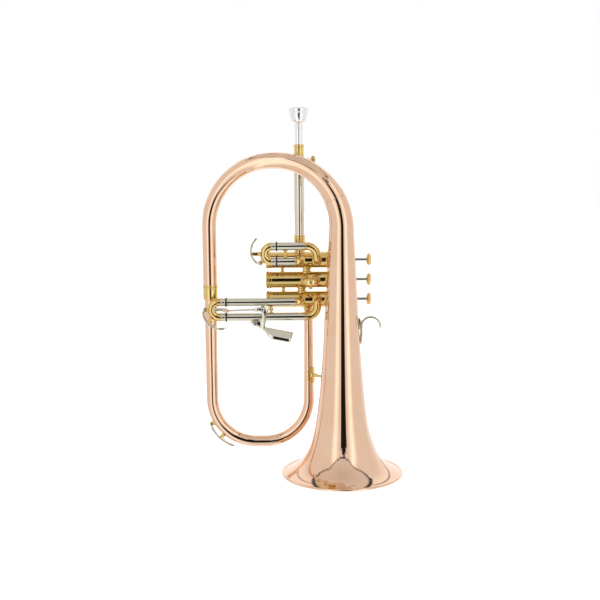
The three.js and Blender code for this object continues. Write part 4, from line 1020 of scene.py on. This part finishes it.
def make_stay(name, node, x, slide):
    """A turned stay between the two legs of a slide."""
    reach = LEG_RADIUS - 0.4
    half = (slide["high"] - slide["low"]) / 2 - reach
    rows = [(0, 0), (0, 3.4), (0.7, 3.1), (1.2, 1.9), (half - 2.1, 1.5), (half - 1.8, 2.3), (half - 1, 2.9),
            (half + 1, 2.9), (half + 1.8, 2.3), (half + 2.1, 1.5), (2 * half - 1.2, 1.9),
            (2 * half - 0.7, 3.1), (2 * half, 3.4), (2 * half, 0)]
    sweep(name, axle((x, SLIDE_Y, slide["low"] + reach), Z), rows, "yellow_brass", nodes=[node], sides=36,
          ease=0.5)


def make_second_slide():
    """The second valve's short slide and the two ports that it fits."""
    face = -CASING_RADIUS - SECOND_PORT_LENGTH
    for x, label in zip(SECOND_PORTS_X, ("left", "right")):
        length = SECOND_PORT_LENGTH + SOLDER_DEPTH
        tube(f"second_port_{label}", axle((x, face, VALVE_Z[1]), Y),
             [(0, 5.3), (0.2, 5.75), (1.3, 5.75), (1.6, 5.3), (length - 3.2, 5.3), (length - 2, 5.9),
              (length, 6.3)], [(0, LEG_BORE), (6, LEG_BORE), (6, 4.2), (length, 4.2)], "yellow_brass",
             nodes=[f"second_slide_{label}_port"], sides=56, ease=0.25)
    spread = SECOND_PORTS_X[1] - SECOND_PORTS_X[0]
    inner = SECOND_PORT_LENGTH - 1.3
    straight = inner + 3.9
    route = Route((SECOND_PORTS_X[0], face + inner, VALVE_Z[1]), -Y).line(straight).arc(spread / 2, 180, Z)
    route.line(straight)
    half = [(0, INNER_RADIUS), (inner + 0.25, INNER_RADIUS), (inner + 0.25, 5.5), (inner + 1.3, 5.5),
            (inner + 1.6, LEG_RADIUS)]
    mirrored = [(route.length - along, radius) for along, radius in reversed(half)]
    tube("second_crook_tube", route, [*half, *mirrored],
         [(0, INNER_BORE), (route.length, INNER_BORE)], "yellow_brass",
         body="second_crook", nodes=["second_slide_crook"], sides=56, ease=0.25)
    middle = (SECOND_PORTS_X[0] + SECOND_PORTS_X[1]) / 2
    front = face - 3.6 - spread / 2
    sweep("second_crook_knob", axle((middle, front, VALVE_Z[1] - LEG_RADIUS + 1.2), -Z),
          [(0, 0), (0, 2.4), (0.9, 1.6), (1.2, 1.3), (2.4, 1.3), (2.9, 2.1), (3.6, 2.5), (4.3, 2.3),
           (4.9, 1.5), (5.1, 0)], "yellow_brass", body="second_crook", sides=32, ease=0.4)
    sweep("second_crook_pin", axle((middle, front - LEG_RADIUS + 0.5, VALVE_Z[1]), -Y),
          [(0, 0), (0, 1.2), (0.9, 1.2), (0.9, 0.7), (0.5, 0.5), (0.5, 0)], "satin_steel",
          body="second_crook", sides=20, ease=0.15)


# ---- water keys ----
def on_arc(centre, radius, degrees):
    """The x and z of a point round a bend."""
    angle = math.radians(degrees)
    return centre[0] + radius * math.cos(angle), centre[1] + radius * math.sin(angle)


# Each key sits on the outside of a bend: its centre, the radius of the tube's skin there, the angles of
# the cork, the pivot and the thumb end, and the lever's height at those three.
KEYS = {
    1: {"centre": (-87, 279.45), "skin": 14.8, "y": SLIDE_Y, "cork": 218, "pivot": 180, "touch": 130,
        "reach": (6, 11.5, 12.5), "body": "first_water_key", "host": "first_crook"},
    2: {"centre": (-154.6, 209.05), "skin": 14.7, "y": SLIDE_Y, "cork": 180, "pivot": 228, "touch": 290,
        "reach": (5.2, 8.5, 10.5), "body": "third_water_key", "host": "third_crook"},
    3: {"centre": (-110, 89.5), "skin": 64.3, "y": 0, "cork": 210, "pivot": 228, "touch": 246,
        "reach": (4.8, 6.8, 5.2), "body": "bow_water_key", "host": "horn"},
}


def pivot_share(key):
    """How far along the lever its pivot lies."""
    return (key["pivot"] - key["cork"]) / (key["touch"] - key["cork"])


def lever_height(key, share):
    """Height of the lever above the tube, on a curve through its three reaches."""
    middle = pivot_share(key)
    low, mid, high = key["reach"]
    return (low * (share - middle) * (share - 1) / middle + mid * share
            * (share - 1) / (middle * (middle - 1)) + high * share * (share - middle) / (1 - middle))


def make_key(number):
    """A water key: lever, cork in its cup, two ears with their pin, nipple and spring."""
    key = KEYS[number]
    centre, skin, y, body = key["centre"], key["skin"], key["y"], key["body"]
    steps = 28
    points = []
    for step in range(steps + 1):
        share = step / steps
        angle = key["cork"] + (key["touch"] - key["cork"]) * share
        x, z = on_arc(centre, skin + lever_height(key, share) - 0.3, angle)
        points.append((x, y, z))
    path = Wire(points, up=Y)
    length = path.length
    middle = pivot_share(key)
    rows = [(0, 0), (0.02 * length, 1.9), (0.09 * length, 2.8), (0.2 * length, 2.7),
            ((middle - 0.12) * length, 2), (middle * length, 2.3), ((middle + 0.15) * length, 2.1),
            (0.8 * length, 2.6), (0.93 * length, 2.7), (0.985 * length, 1.9), (length, 0)]
    sweep(f"key_{number}_lever", path, rows, "nickel_silver", body=body, nodes=[f"water_key_{number}"],
          sides=24, ease=1.2, flat=0.6, squareness=0.62)
    pin_x, pin_z = on_arc(centre, skin + key["reach"][1] - 1.2, key["pivot"])
    pin(f"key_{number}_barrel", (pin_x, y - 2.5, pin_z), Y, 5, 1.8, "nickel_silver", body=body, sides=28)
    seat = on_arc(centre, skin + 1.9, key["cork"])
    cup = on_arc(centre, skin + 3.4, key["cork"])
    towards_cork = math.radians(key["cork"])
    out = Vector((math.cos(towards_cork), 0, math.sin(towards_cork)))
    pin(f"key_{number}_cork", (seat[0], y, seat[1]), out, 2.4, 2.6, "cork", body=body, sides=28)
    rise = key["reach"][0] + 0.5 - 3.4
    sweep(f"key_{number}_cup", axle((cup[0], y, cup[1]), out),
          [(0, 0), (0, 3.1), (rise * 0.6, 3.1), (rise, 1.9), (rise, 0)], "nickel_silver", body=body,
          sides=32)
    # two ears that stand on the tube, and the heads of the pin between them
    host = key["host"]
    foot_x, foot_z = on_arc(centre, skin - 1.2, key["pivot"])
    ear = Vector((pin_x - foot_x, 0, pin_z - foot_z))
    reach = ear.length
    for sign, label in ((-1, "near"), (1, "far")):
        sweep(f"key_{number}_ear_{label}", axle((foot_x, y + sign * 3.4, foot_z), ear.normalized()),
              [(0, 0), (0, 3), (reach * 0.35, 2.4), (reach - 1, 2), (reach + 0.8, 2), (reach + 1.6, 1.1),
               (reach + 1.6, 0)], "yellow_brass", body=host, sides=24, flat=0.5, squareness=0.7)
        sweep(f"key_{number}_pin_head_{label}", axle((pin_x, y + sign * 3.9, pin_z), Y * sign),
              [(0, 0), (0, 1.3), (0.5, 1.3), (0.8, 0.9), (0.8, 0)], "satin_steel", body=host, sides=20,
              ease=0.2)
    inside = on_arc(centre, skin - 1.2, key["cork"])
    sweep(f"key_{number}_nipple", axle((inside[0], y, inside[1]), out),
          [(0, 0), (0, 4), (1.3, 3.9), (1.8, 3.1), (2.4, 2.9), (2.7, 2.7), (2.7, 1.4), (1.6, 1.4), (1.6, 0)],
          "yellow_brass", body=host, sides=32)
    # spring wire: round the barrel, then under the lever
    coil = []
    for step in range(49):
        turn = 2 * math.pi * step / 16
        coil.append((pin_x + 2.3 * math.cos(turn), y - 1.4 + step * 0.06, pin_z + 2.3 * math.sin(turn)))
    share = 0.75
    angle = key["cork"] + (key["touch"] - key["cork"]) * share
    under_x, under_z = on_arc(centre, skin + lever_height(key, share) - 0.2, angle)
    coil.append((under_x, y + 1.4, under_z))
    wire(f"key_{number}_spring", coil, 0.28, body=host)


# ---- trigger ----
def make_trigger():
    """The thumb's trigger: bracket, lever, paddle, rod and spring."""
    pivot_x, pivot_z = TRIGGER_PIVOT
    pin_x, pin_z = TRIGGER_PIN
    leg_floor = THIRD_SLIDE["low"] - LEG_RADIUS
    outline = [(-6, 1.2), (-6, -0.9), (-4.6, -3), (4.6, -3), (6, -0.9), (6, 1.2)]
    plate("trigger_bracket_foot", [(pivot_x + x, leg_floor + z) for x, z in outline], SLIDE_Y + 3, 6,
          "brass_plate", nodes=["trigger_bracket"], bevel=0.6)
    sweep("trigger_bracket_post", axle((pivot_x, SLIDE_Y + 1, pivot_z), -Y),
          [(0, 0), (0, 3.1), (1, 3.3), (2, 2.7), (6, 2.7), (6.4, 3.2), (7.2, 3.2), (7.3, 1.3), (7.3, 0)],
          "yellow_brass", sides=40)
    sweep("trigger_pivot_head", axle((pivot_x, LEVER_FRONT_Y + 4, pivot_z), -Y),
          [(0, 0), (0, 1.2), (4.1, 1.2), (4.1, 2.2), (4.9, 2.2), (5.4, 1.5), (5.4, 0)], "satin_steel",
          nodes=["trigger_pivot_screw"], sides=32, ease=0.25)
    near = [
        (-3.4, 0), (-2.9, -2.1), (-1.4, -3.4), (0.6, -3.8), (3, -4.5), (8, -7.8), (13, -11.3), (15.2, -10.6),
        (15.2, -8.6), (13, -5.2), (12.2, -2.6), (12.6, 0), (13.3, 4), (13.8, 12),
    ]
    far = [(6.5, -4), (7.4, -1.8), (7.5, 1), (6.6, 3.6), (4.6, 4.6), (1, 4.6), (-1.8, 3.8), (-2.9, 1.8),
           (-3, -3.2)]
    rest = [(8.6, 11), (8.2, 6), (6.8, 3.8), (4, 3), (2, 3), (0, 3.4), (-2, 2.8), (-3, 1.6)]
    lever = [(pivot_x + x, pivot_z + z) for x, z in near]
    lever += [(pin_x + x, pin_z + z) for x, z in far]
    lever += [(pivot_x + x, pivot_z + z) for x, z in rest]
    plate("trigger_lever_plate", lever, LEVER_FRONT_Y + 1.8, 1.8, "nickel_plate", body="trigger",
          nodes=["trigger_lever"], bevel=0.45)
    make_paddle(pivot_x, pivot_z)
    make_rod(pin_x, pin_z)
    # torsion spring on the hub
    coil = [(pivot_x - 9, LEVER_FRONT_Y + 2.6, leg_floor - 1.6)]
    for step in range(60):
        turn = math.pi * 0.8 + 2 * math.pi * step / 18
        coil.append((pivot_x + 3.7 * math.cos(turn), LEVER_FRONT_Y + 2.6 + step * 0.05,
                     pivot_z + 3.7 * math.sin(turn)))
    wire("trigger_spring", coil, 0.4)


def make_paddle(pivot_x, pivot_z):
    """The thumb's plate: a sheet that curls over the front of the lever."""
    tilt = math.radians(PADDLE_TILT)
    along = Vector((math.cos(tilt), 0, -math.sin(tilt)))
    up = Vector((math.sin(tilt), 0, math.cos(tilt)))
    start = Vector((pivot_x + 9.5, LEVER_FRONT_Y + 1.8, pivot_z - 3.8))
    shape = bmesh.new()
    lengthwise = 40
    profile = eased([(0, 0), (2.2, 0.2), (9.2, 7.4), (9.9, 11.4), (9.3, 12.6)], 2.4, False)
    grid = []
    for step in range(lengthwise + 1):
        share = step / lengthwise
        opening = math.sin(min(1, share / 0.42) * math.pi / 2)
        closing = math.sqrt(max(0.0, 1 - max(0.0, (share - 0.9) / 0.1) ** 2.4))
        reach = (0.12 + 0.88 * opening) * (0.55 + 0.45 * closing)
        ring = []
        for forward, drop in profile:
            spot = start + along * (PADDLE_LENGTH * share) - Y * (forward * reach) - up * (drop * reach)
            ring.append(shape.verts.new(ORIGIN + spot * MM))
        grid.append(ring)
    joined_rows(shape, grid)
    paddle = formed("trigger_paddle", shape, "nickel_plate")
    thickened(paddle, 1.3, -1)
    softened(paddle, 0.5)
    fitted(paddle, "trigger", ["trigger_lever"])


def make_rod(pin_x, pin_z):
    """The rod from the crook to the lever, with its foot, ball joint and clevis."""
    slide_z = (THIRD_SLIDE["low"] + THIRD_SLIDE["high"]) / 2
    foot_x = THIRD_SLIDE["centre"] - (THIRD_SLIDE["high"] - THIRD_SLIDE["low"]) / 2 + CROOK_RADIUS - 1.5
    reach = ROD_JOINT_X - foot_x
    sweep("rod_foot", axle((foot_x, SLIDE_Y, slide_z), X),
          [(0, 0), (0, 4.4), (0.9, 4.2), (1.7, 2.9), (2.6, 2.2), (4, 2.1), (reach, 2.1), (reach + 1.9, 1.7),
           (reach + 1.9, 0)], "nickel_silver", body="third_crook", sides=32)
    sweep("rod_foot_post", axle((ROD_JOINT_X, SLIDE_Y + 1.5, slide_z), -Y),
          [(0, 0), (0, 1.9), (7.5, 1.7), (8, 2.2), (9.2, 2.2), (9.4, 1.4), (9.4, 0)], "yellow_brass",
          body="third_crook", sides=32)
    ball_radius = 2.2
    ball = [(0, 0)]
    for step in range(1, 12):
        angle = math.pi * step / 12
        ball.append((ball_radius - ball_radius * math.cos(angle), ball_radius * math.sin(angle)))
    ball.append((2 * ball_radius, 0))
    sweep("rod_ball", axle((ROD_JOINT_X - ball_radius, ROD_Y, slide_z), X), ball, "nickel_silver",
          body="third_crook", sides=32, ease=0.01)
    rod_start = Vector((ROD_JOINT_X, ROD_Y, slide_z))
    rod_end = Vector((pin_x - 8, ROD_Y, pin_z))
    run = (rod_end - rod_start).length
    rod = axle(rod_start, (rod_end - rod_start).normalized())
    sweep("rod_sleeve", rod, [(0, 0), (1.6, 2.2), (2.2, 2.3), (5.6, 2.3), (6.2, 1.9), (6.2, 0)], "rose_brass",
          body="third_crook", sides=32)
    sweep("rod_bar", rod, [(0, 0), (1, 1.6), (3.4, 1.6), (3.8, 1.2), (run - 4, 1.2), (run - 3.8, 1.7),
                           (run - 2, 1.7), (run, 1.7), (run, 0)], "nickel_silver", body="third_crook",
          nodes=["trigger_rod"], sides=28)
    back = LEVER_FRONT_Y - 0.8
    outline = [(-10, -2), (-9.4, -2.6), (1.4, -2.6), (2.2, -1.8), (2.2, 1.8), (1.4, 2.6), (-9.4, 2.6),
               (-10, 2)]
    plate("rod_clevis", [(pin_x + x, pin_z + z) for x, z in outline], back, 3.8, "nickel_plate",
          body="third_crook", nodes=["trigger_rod"], bevel=0.5)
    sweep("rod_pin", axle((pin_x, LEVER_FRONT_Y + 1.6, pin_z), -Y),
          [(0, 0), (0, 1.1), (6, 1.1), (6, 1.9), (6.7, 1.9), (7, 1.3), (7, 0)], "satin_steel",
          body="third_crook", sides=28, ease=0.2)
    sweep("rod_set_screw", axle((pin_x - 6.4, back - 3.4, pin_z), -Y),
          [(0, 0), (0, 1.5), (0.9, 1.5), (1.2, 1.1), (1.2, 0)], "satin_steel", body="third_crook", sides=24,
          ease=0.2)


# ---- braces and hook ----
def bell_leaf(name, node, middle, half_height):
    """A leaf-shaped flange that hugs the bell, thin at its edge."""
    rings = 10
    around = 56
    direction = math.radians(BRACE_ANGLE)
    shape = bmesh.new()

    def spot(width, height, lift):
        radius = bell_radius(middle + height) + lift
        angle = direction + width / bell_radius(middle)
        return ORIGIN + Vector((radius * math.cos(angle), BELL_Y + radius * math.sin(angle),
                                middle + height)) * MM

    layers = []
    for step in range(rings + 1):
        share = step / rings
        lift = 1.15 * (1 - share ** 6) - 0.25 * (step == rings)
        layers.append([(share, lift)] * around)
    layers.append([(1, -0.35)] * around)
    for step in range(rings - 1, -1, -1):
        layers.append([(step / rings, -0.35)] * around)
    rows = []
    for layer in layers:
        row = []
        for index, (share, lift) in enumerate(layer):
            turn = 2 * math.pi * index / around
            pointed = abs(math.sin(turn)) ** 1.25 * math.copysign(1, math.sin(turn))
            row.append(shape.verts.new(spot(9 * share * math.cos(turn), half_height * share * pointed, lift)))
        rows.append(row)
    joined_rows(shape, rows, closed=True)
    bmesh.ops.remove_doubles(shape, verts=shape.verts, dist=1e-6)
    leaf = formed(name, shape, "brass_plate")
    smoothed(leaf.data, 50)
    fitted(leaf, "horn", [node])


def make_braces():
    """The braces from the bell to the valves and to the front bow."""
    direction = math.radians(BRACE_ANGLE)
    upper = ("upper", 0, 274, 19, VALVE_Z[0])
    lower = ("lower", 2, 193, 20, 206)
    for label, valve, middle, half_height, foot_z in (upper, lower):
        node = f"{label}_valve_brace"
        bell_leaf(f"{node}_leaf", node, middle, half_height)
        inset = bell_radius(foot_z) - 0.6
        foot = Vector((math.cos(direction) * inset, BELL_Y + math.sin(direction) * inset, foot_z))
        goal = Vector((foot.x, 0, VALVE_Z[valve]))
        heading = (goal - foot).normalized()
        run = (goal - foot).length - CASING_RADIUS + 1.2
        sweep(f"{node}_post", axle(foot, heading), [(0, 0), (0, 3.4), (1.6, 2.9), (3, 1.9),
                                                    (run * 0.5 - 1.2, 1.6), (run * 0.5, 2.4),
                                                    (run * 0.5 + 1.2, 1.6), (run - 2.4, 1.9),
                                                    (run - 1, 2.9), (run, 3.4), (run, 0)], "yellow_brass",
              nodes=[node], sides=36, ease=0.6)
    branch = Vector((FRONT_BOW_END_X, 0, BRACE_Z))
    bell = Vector((0, BELL_Y, BRACE_Z))
    heading = (bell - branch).normalized()
    across = Z.cross(heading)
    # the saddle round the branch
    shape = bmesh.new()
    rows = []
    for step in range(25):
        share = step / 24 * 2 - 1
        width = 70 * math.sqrt(max(0.0, 1 - abs(share) ** 2.6)) + 3
        row = []
        for turn in range(25):
            angle = math.radians(width * (turn / 12 - 1))
            row.append(branch + (heading * math.cos(angle) + across * math.sin(angle)) * 7.1 + Z
                       * (10.6 * share))
        rows.append([shape.verts.new(ORIGIN + spot * MM) for spot in row])
    joined_rows(shape, rows)
    saddle = formed("bell_brace_saddle", shape, "brass_plate")
    thickened(saddle, 1, 0)
    softened(saddle, 0.35)
    fitted(saddle, "horn", ["bell_brace"])
    run = (bell - branch).length - bell_radius(BRACE_Z) - 6.6
    sweep("bell_brace_post", axle(branch + heading * 6.6, heading),
          [(0, 0), (0, 4.2), (1.4, 3.6), (2.6, 2.5), (run * 0.4, 1.7), (run - 4, 1.6), (run - 2, 2.2),
           (run - 0.8, 3), (run + 0.4, 3.4), (run + 0.4, 0)], "yellow_brass", nodes=["bell_brace"],
          sides=36, ease=0.7)


def make_hook():
    """The strip for the little finger: up the bell's side, then over in an arch."""
    foot_x = bell_radius(HOOK_FOOT)
    inner = foot_x + 0.3 + HOOK_THICKNESS / 2
    arch_z = HOOK_FOOT + HOOK_RISE
    radius = HOOK_RADIUS - HOOK_THICKNESS / 2
    points = [(foot_x + 0.7, BELL_Y, HOOK_FOOT - 1), (foot_x + 1.1, BELL_Y, HOOK_FOOT + 4),
              (inner, BELL_Y, HOOK_FOOT + 12), (inner, BELL_Y, arch_z - 3)]
    for step in range(37):
        angle = math.radians(180 - step * 195 / 36)
        points.append((inner + radius + radius * math.cos(angle), BELL_Y, arch_z + radius * math.sin(angle)))
    path = Wire(points, up=Y)
    length = path.length
    rows = [(0, 0), (0.6, 2.2), (3, 3.3), (8, 3.5), (length - 12, 3.3), (length - 3, 2.9), (length - 0.8, 2),
            (length, 0)]
    sweep("hook_strip", path, rows, "satin_nickel", nodes=["little_finger_hook"], sides=32, ease=1, flat=0.46,
          squareness=0.7)
    # a web ties the arch's shoulder to the bell
    shoulder = math.radians(150)
    end_x = inner + radius + radius * math.cos(shoulder)
    end_z = arch_z + radius * math.sin(shoulder)
    outline = [(bell_radius(arch_z - 4) - 0.4, arch_z - 4), (inner, arch_z - 2), (end_x - 0.4, end_z + 0.6),
               (bell_radius(end_z + 4) - 0.4, end_z + 6)]
    plate("hook_web", outline, BELL_Y + 1.1, 2.2, "nickel_plate", bevel=0.4)


# ---- carried-over nodes ----
def finish_pistons():
    """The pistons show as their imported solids, in nickel."""
    for number in (1, 2, 3):
        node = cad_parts[f"piston_{number}"]
        node.data.materials.clear()
        node.data.materials.append(FINISH["nickel_plate"])


# ---- studio ----
def make_world():
    """The studio round the horn, which the metal mirrors."""
    world = bpy.data.worlds.new("studio")
    bpy.context.scene.world = world
    world.use_nodes = True
    tree = world.node_tree
    tree.nodes.clear()
    direction = tree.nodes.new("ShaderNodeTexCoord").outputs["Generated"]
    split = tree.nodes.new("ShaderNodeSeparateXYZ")
    tree.links.new(direction, split.inputs[0])
    x, y, z = split.outputs
    azimuth = maths(tree, "MULTIPLY", maths(tree, "ARCTAN2", x, maths(tree, "MULTIPLY", y, -1)),
                    180 / math.pi)
    height = maths(tree, "MULTIPLY", maths(tree, "ARCSINE", z), 180 / math.pi)

    def band(source, low, high, soft):
        rise = ramp(tree, source, low - soft, low + soft)
        fall = ramp(tree, source, high - soft, high + soft, 1, 0)
        return maths(tree, "MULTIPLY", rise, fall)

    turned = maths(tree, "ABSOLUTE", azimuth)
    # pale walls, with a brighter softbox on either side of the camera
    level = maths(tree, "MULTIPLY_ADD", band(azimuth, -36, -22, 10), 0.85, 1.1)
    level = maths(tree, "MULTIPLY_ADD", band(azimuth, 31, 46, 11), 0.95, level)
    level = maths(tree, "ADD", level, ramp(tree, turned, 115, 150, 0, 0.3))
    # a duller ceiling above them, lower towards the camera and darkest overhead
    roof = maths(tree, "ADD", ramp(tree, turned, 7, 58, 33, 54), ramp(tree, turned, 60, 121, 0, 4))
    over = maths(tree, "SUBTRACT", height, roof)
    above = ramp(tree, over, -0.8, 0.8)
    level = maths(tree, "ADD", maths(tree, "MULTIPLY", level, maths(tree, "SUBTRACT", 1, above)),
                  maths(tree, "MULTIPLY", above, ramp(tree, over, 4, 44, 0.96, 0.84)))
    # the gap for the camera, which closes to a point at the top
    aside = maths(tree, "ABSOLUTE", maths(tree, "SUBTRACT", azimuth, 4.2))
    inside = maths(tree, "SUBTRACT", aside, ramp(tree, height, 12, 34, 11.4, 2.2))
    gap = maths(tree, "MULTIPLY", ramp(tree, inside, -0.9, 0.9, 1, 0), band(height, -22, 33, 2))
    level = maths(tree, "MULTIPLY", level, maths(tree, "MULTIPLY_ADD", gap, -0.985, 1))
    # dark seams between the panels
    seams = (
        (azimuth, 3, 15, height, -46, -20, 1.2, 0.9),
        (turned, -1, 121, over, -1.6, 1.6, 0.7, 0.8),
        (turned, 121, 181, over, -3.5, 0.8, 1, 0.95),
        (turned, 146.5, 148.5, height, -35, 54, 0.6, 0.75),
    )
    for across, left, right, upward, bottom, top, soft, depth in seams:
        seam_mask = maths(tree, "MULTIPLY", band(across, left, right, soft), band(upward, bottom, top, soft))
        level = maths(tree, "MULTIPLY", level, maths(tree, "MULTIPLY_ADD", seam_mask, -depth, 1))
    lit = tree.nodes.new("ShaderNodeBackground")
    tree.links.new(level, lit.inputs["Strength"])
    seen = tree.nodes.new("ShaderNodeBackground")
    seen.inputs["Strength"].default_value = 1
    seen.inputs["Color"].default_value = (1, 1, 1, 1)
    switch = tree.nodes.new("ShaderNodeMixShader")
    tree.links.new(tree.nodes.new("ShaderNodeLightPath").outputs["Is Camera Ray"], switch.inputs[0])
    tree.links.new(lit.outputs[0], switch.inputs[1])
    tree.links.new(seen.outputs[0], switch.inputs[2])
    tree.links.new(switch.outputs[0], tree.nodes.new("ShaderNodeOutputWorld").inputs["Surface"])


def softbox(name, low, high, distance, level):
    """A flat light in front of the horn, from the corner low to the corner high, in metres. The metal
    doesn't mirror it, because the studio round the horn already holds its reflection."""
    light = bpy.data.lights.new(name, "AREA")
    light.shape = "RECTANGLE"
    light.size = high[0] - low[0]
    light.size_y = high[1] - low[1]
    light.energy = level * math.pi * light.size * light.size_y
    lamp = placed(name, light)
    lamp.location = ((low[0] + high[0]) / 2, -distance, (low[1] + high[1]) / 2)
    lamp.rotation_euler = (math.radians(90), 0, 0)
    lamp.visible_camera = False
    lamp.visible_glossy = False


def make_floor():
    """A plain pale floor, left out of what the metal mirrors."""
    mesh = bpy.data.meshes.new("floor")
    size = 6
    mesh.from_pydata([(-size, -size, 0), (size, -size, 0), (size, size, 0), (-size, size, 0)], [],
                     [(0, 1, 2, 3)])
    floor = placed("floor", mesh)
    floor.location = (0, 0, -0.0001)
    material = bpy.data.materials.new("pale_floor")
    material.use_nodes = True
    tree = material.node_tree
    shader = tree.nodes["Principled BSDF"]
    shader.inputs["Base Color"].default_value = (0.92, 0.92, 0.92, 1)
    shader.inputs["Roughness"].default_value = 0.9
    shader.inputs["Specular IOR Level"].default_value = 0.1
    shader.inputs["Emission Color"].default_value = (1, 1, 1, 1)
    ray = tree.nodes.new("ShaderNodeLightPath").outputs
    tree.links.new(maths(tree, "MULTIPLY", ray["Is Camera Ray"], 0.5), shader.inputs["Emission Strength"])
    # polished metal mirrors the studio's own pale floor instead of this sheet
    clear = tree.nodes.new("ShaderNodeBsdfTransparent")
    either = tree.nodes.new("ShaderNodeMixShader")
    tree.links.new(ray["Is Glossy Ray"], either.inputs[0])
    tree.links.new(shader.outputs[0], either.inputs[1])
    tree.links.new(clear.outputs[0], either.inputs[2])
    tree.links.new(either.outputs[0], tree.nodes["Material Output"].inputs["Surface"])
    mesh.materials.append(material)


def make_camera():
    """The camera, which looks down at the horn a little."""
    camera = bpy.data.cameras.new("camera")
    camera.sensor_width = 36
    camera.lens = 63.14
    camera.clip_start = 0.05
    camera.clip_end = 50
    eye = placed("camera", camera)
    pitch = math.radians(8)
    target = ORIGIN + Vector((LEADPIPE_X, 0, 218.2)) * MM
    distance = 1.35
    eye.location = target + Vector((0, -math.cos(pitch), math.sin(pitch))) * distance
    eye.rotation_mode = "QUATERNION"
    look = (target - eye.location).to_track_quat("-Z", "Y")
    eye.rotation_quaternion = look @ Quaternion((0, 0, 1), math.radians(-0.45))
    bpy.context.scene.camera = eye


make_camera()
make_world()
softbox("left_softbox", (-1.62, 0.02), (-0.22, 0.74), 1.5, 0.6)
softbox("right_softbox", (0.46, 0.02), (1.86, 0.74), 1.5, 0.6)
make_floor()
bpy.context.scene.view_settings.view_transform = "Standard"

make_bell()
make_rear_bow()
make_front_bow()
make_ferrule()
for number in (1, 2, 3):
    make_valve(number)
make_valve_links()
make_leadpipe()
make_leg("first_upper_leg", "first_slide_upper_leg", FIRST_SLIDE, FIRST_SLIDE["high"], -Z, 0, True)
make_leg("first_lower_leg", "first_slide_lower_leg", FIRST_SLIDE, FIRST_SLIDE["low"], -Z, 0, False)
make_leg("third_upper_leg", "third_slide_upper_leg", THIRD_SLIDE, THIRD_SLIDE["high"], Z, 2, False)
make_leg("third_lower_leg", "third_slide_lower_leg", THIRD_SLIDE, THIRD_SLIDE["low"], Z, 2, True)
for label, valve in (("first", 0), ("third", 2)):
    port_flange(f"{label}_knuckle_flange", KNUCKLE_X, valve)
    port_flange(f"{label}_bend_flange", BEND_X, valve)
make_crook("first_crook", "first_slide_crook", FIRST_SLIDE, "first_crook")
make_crook("third_crook", "third_slide_crook", THIRD_SLIDE, "third_crook")
make_stay("first_stay", "first_slide_stay", -70, FIRST_SLIDE)
make_stay("third_stay", "third_slide_stay", -88.7, THIRD_SLIDE)
make_second_slide()
for number in KEYS:
    make_key(number)
make_trigger()
make_braces()
make_hook()
finish_pistons()
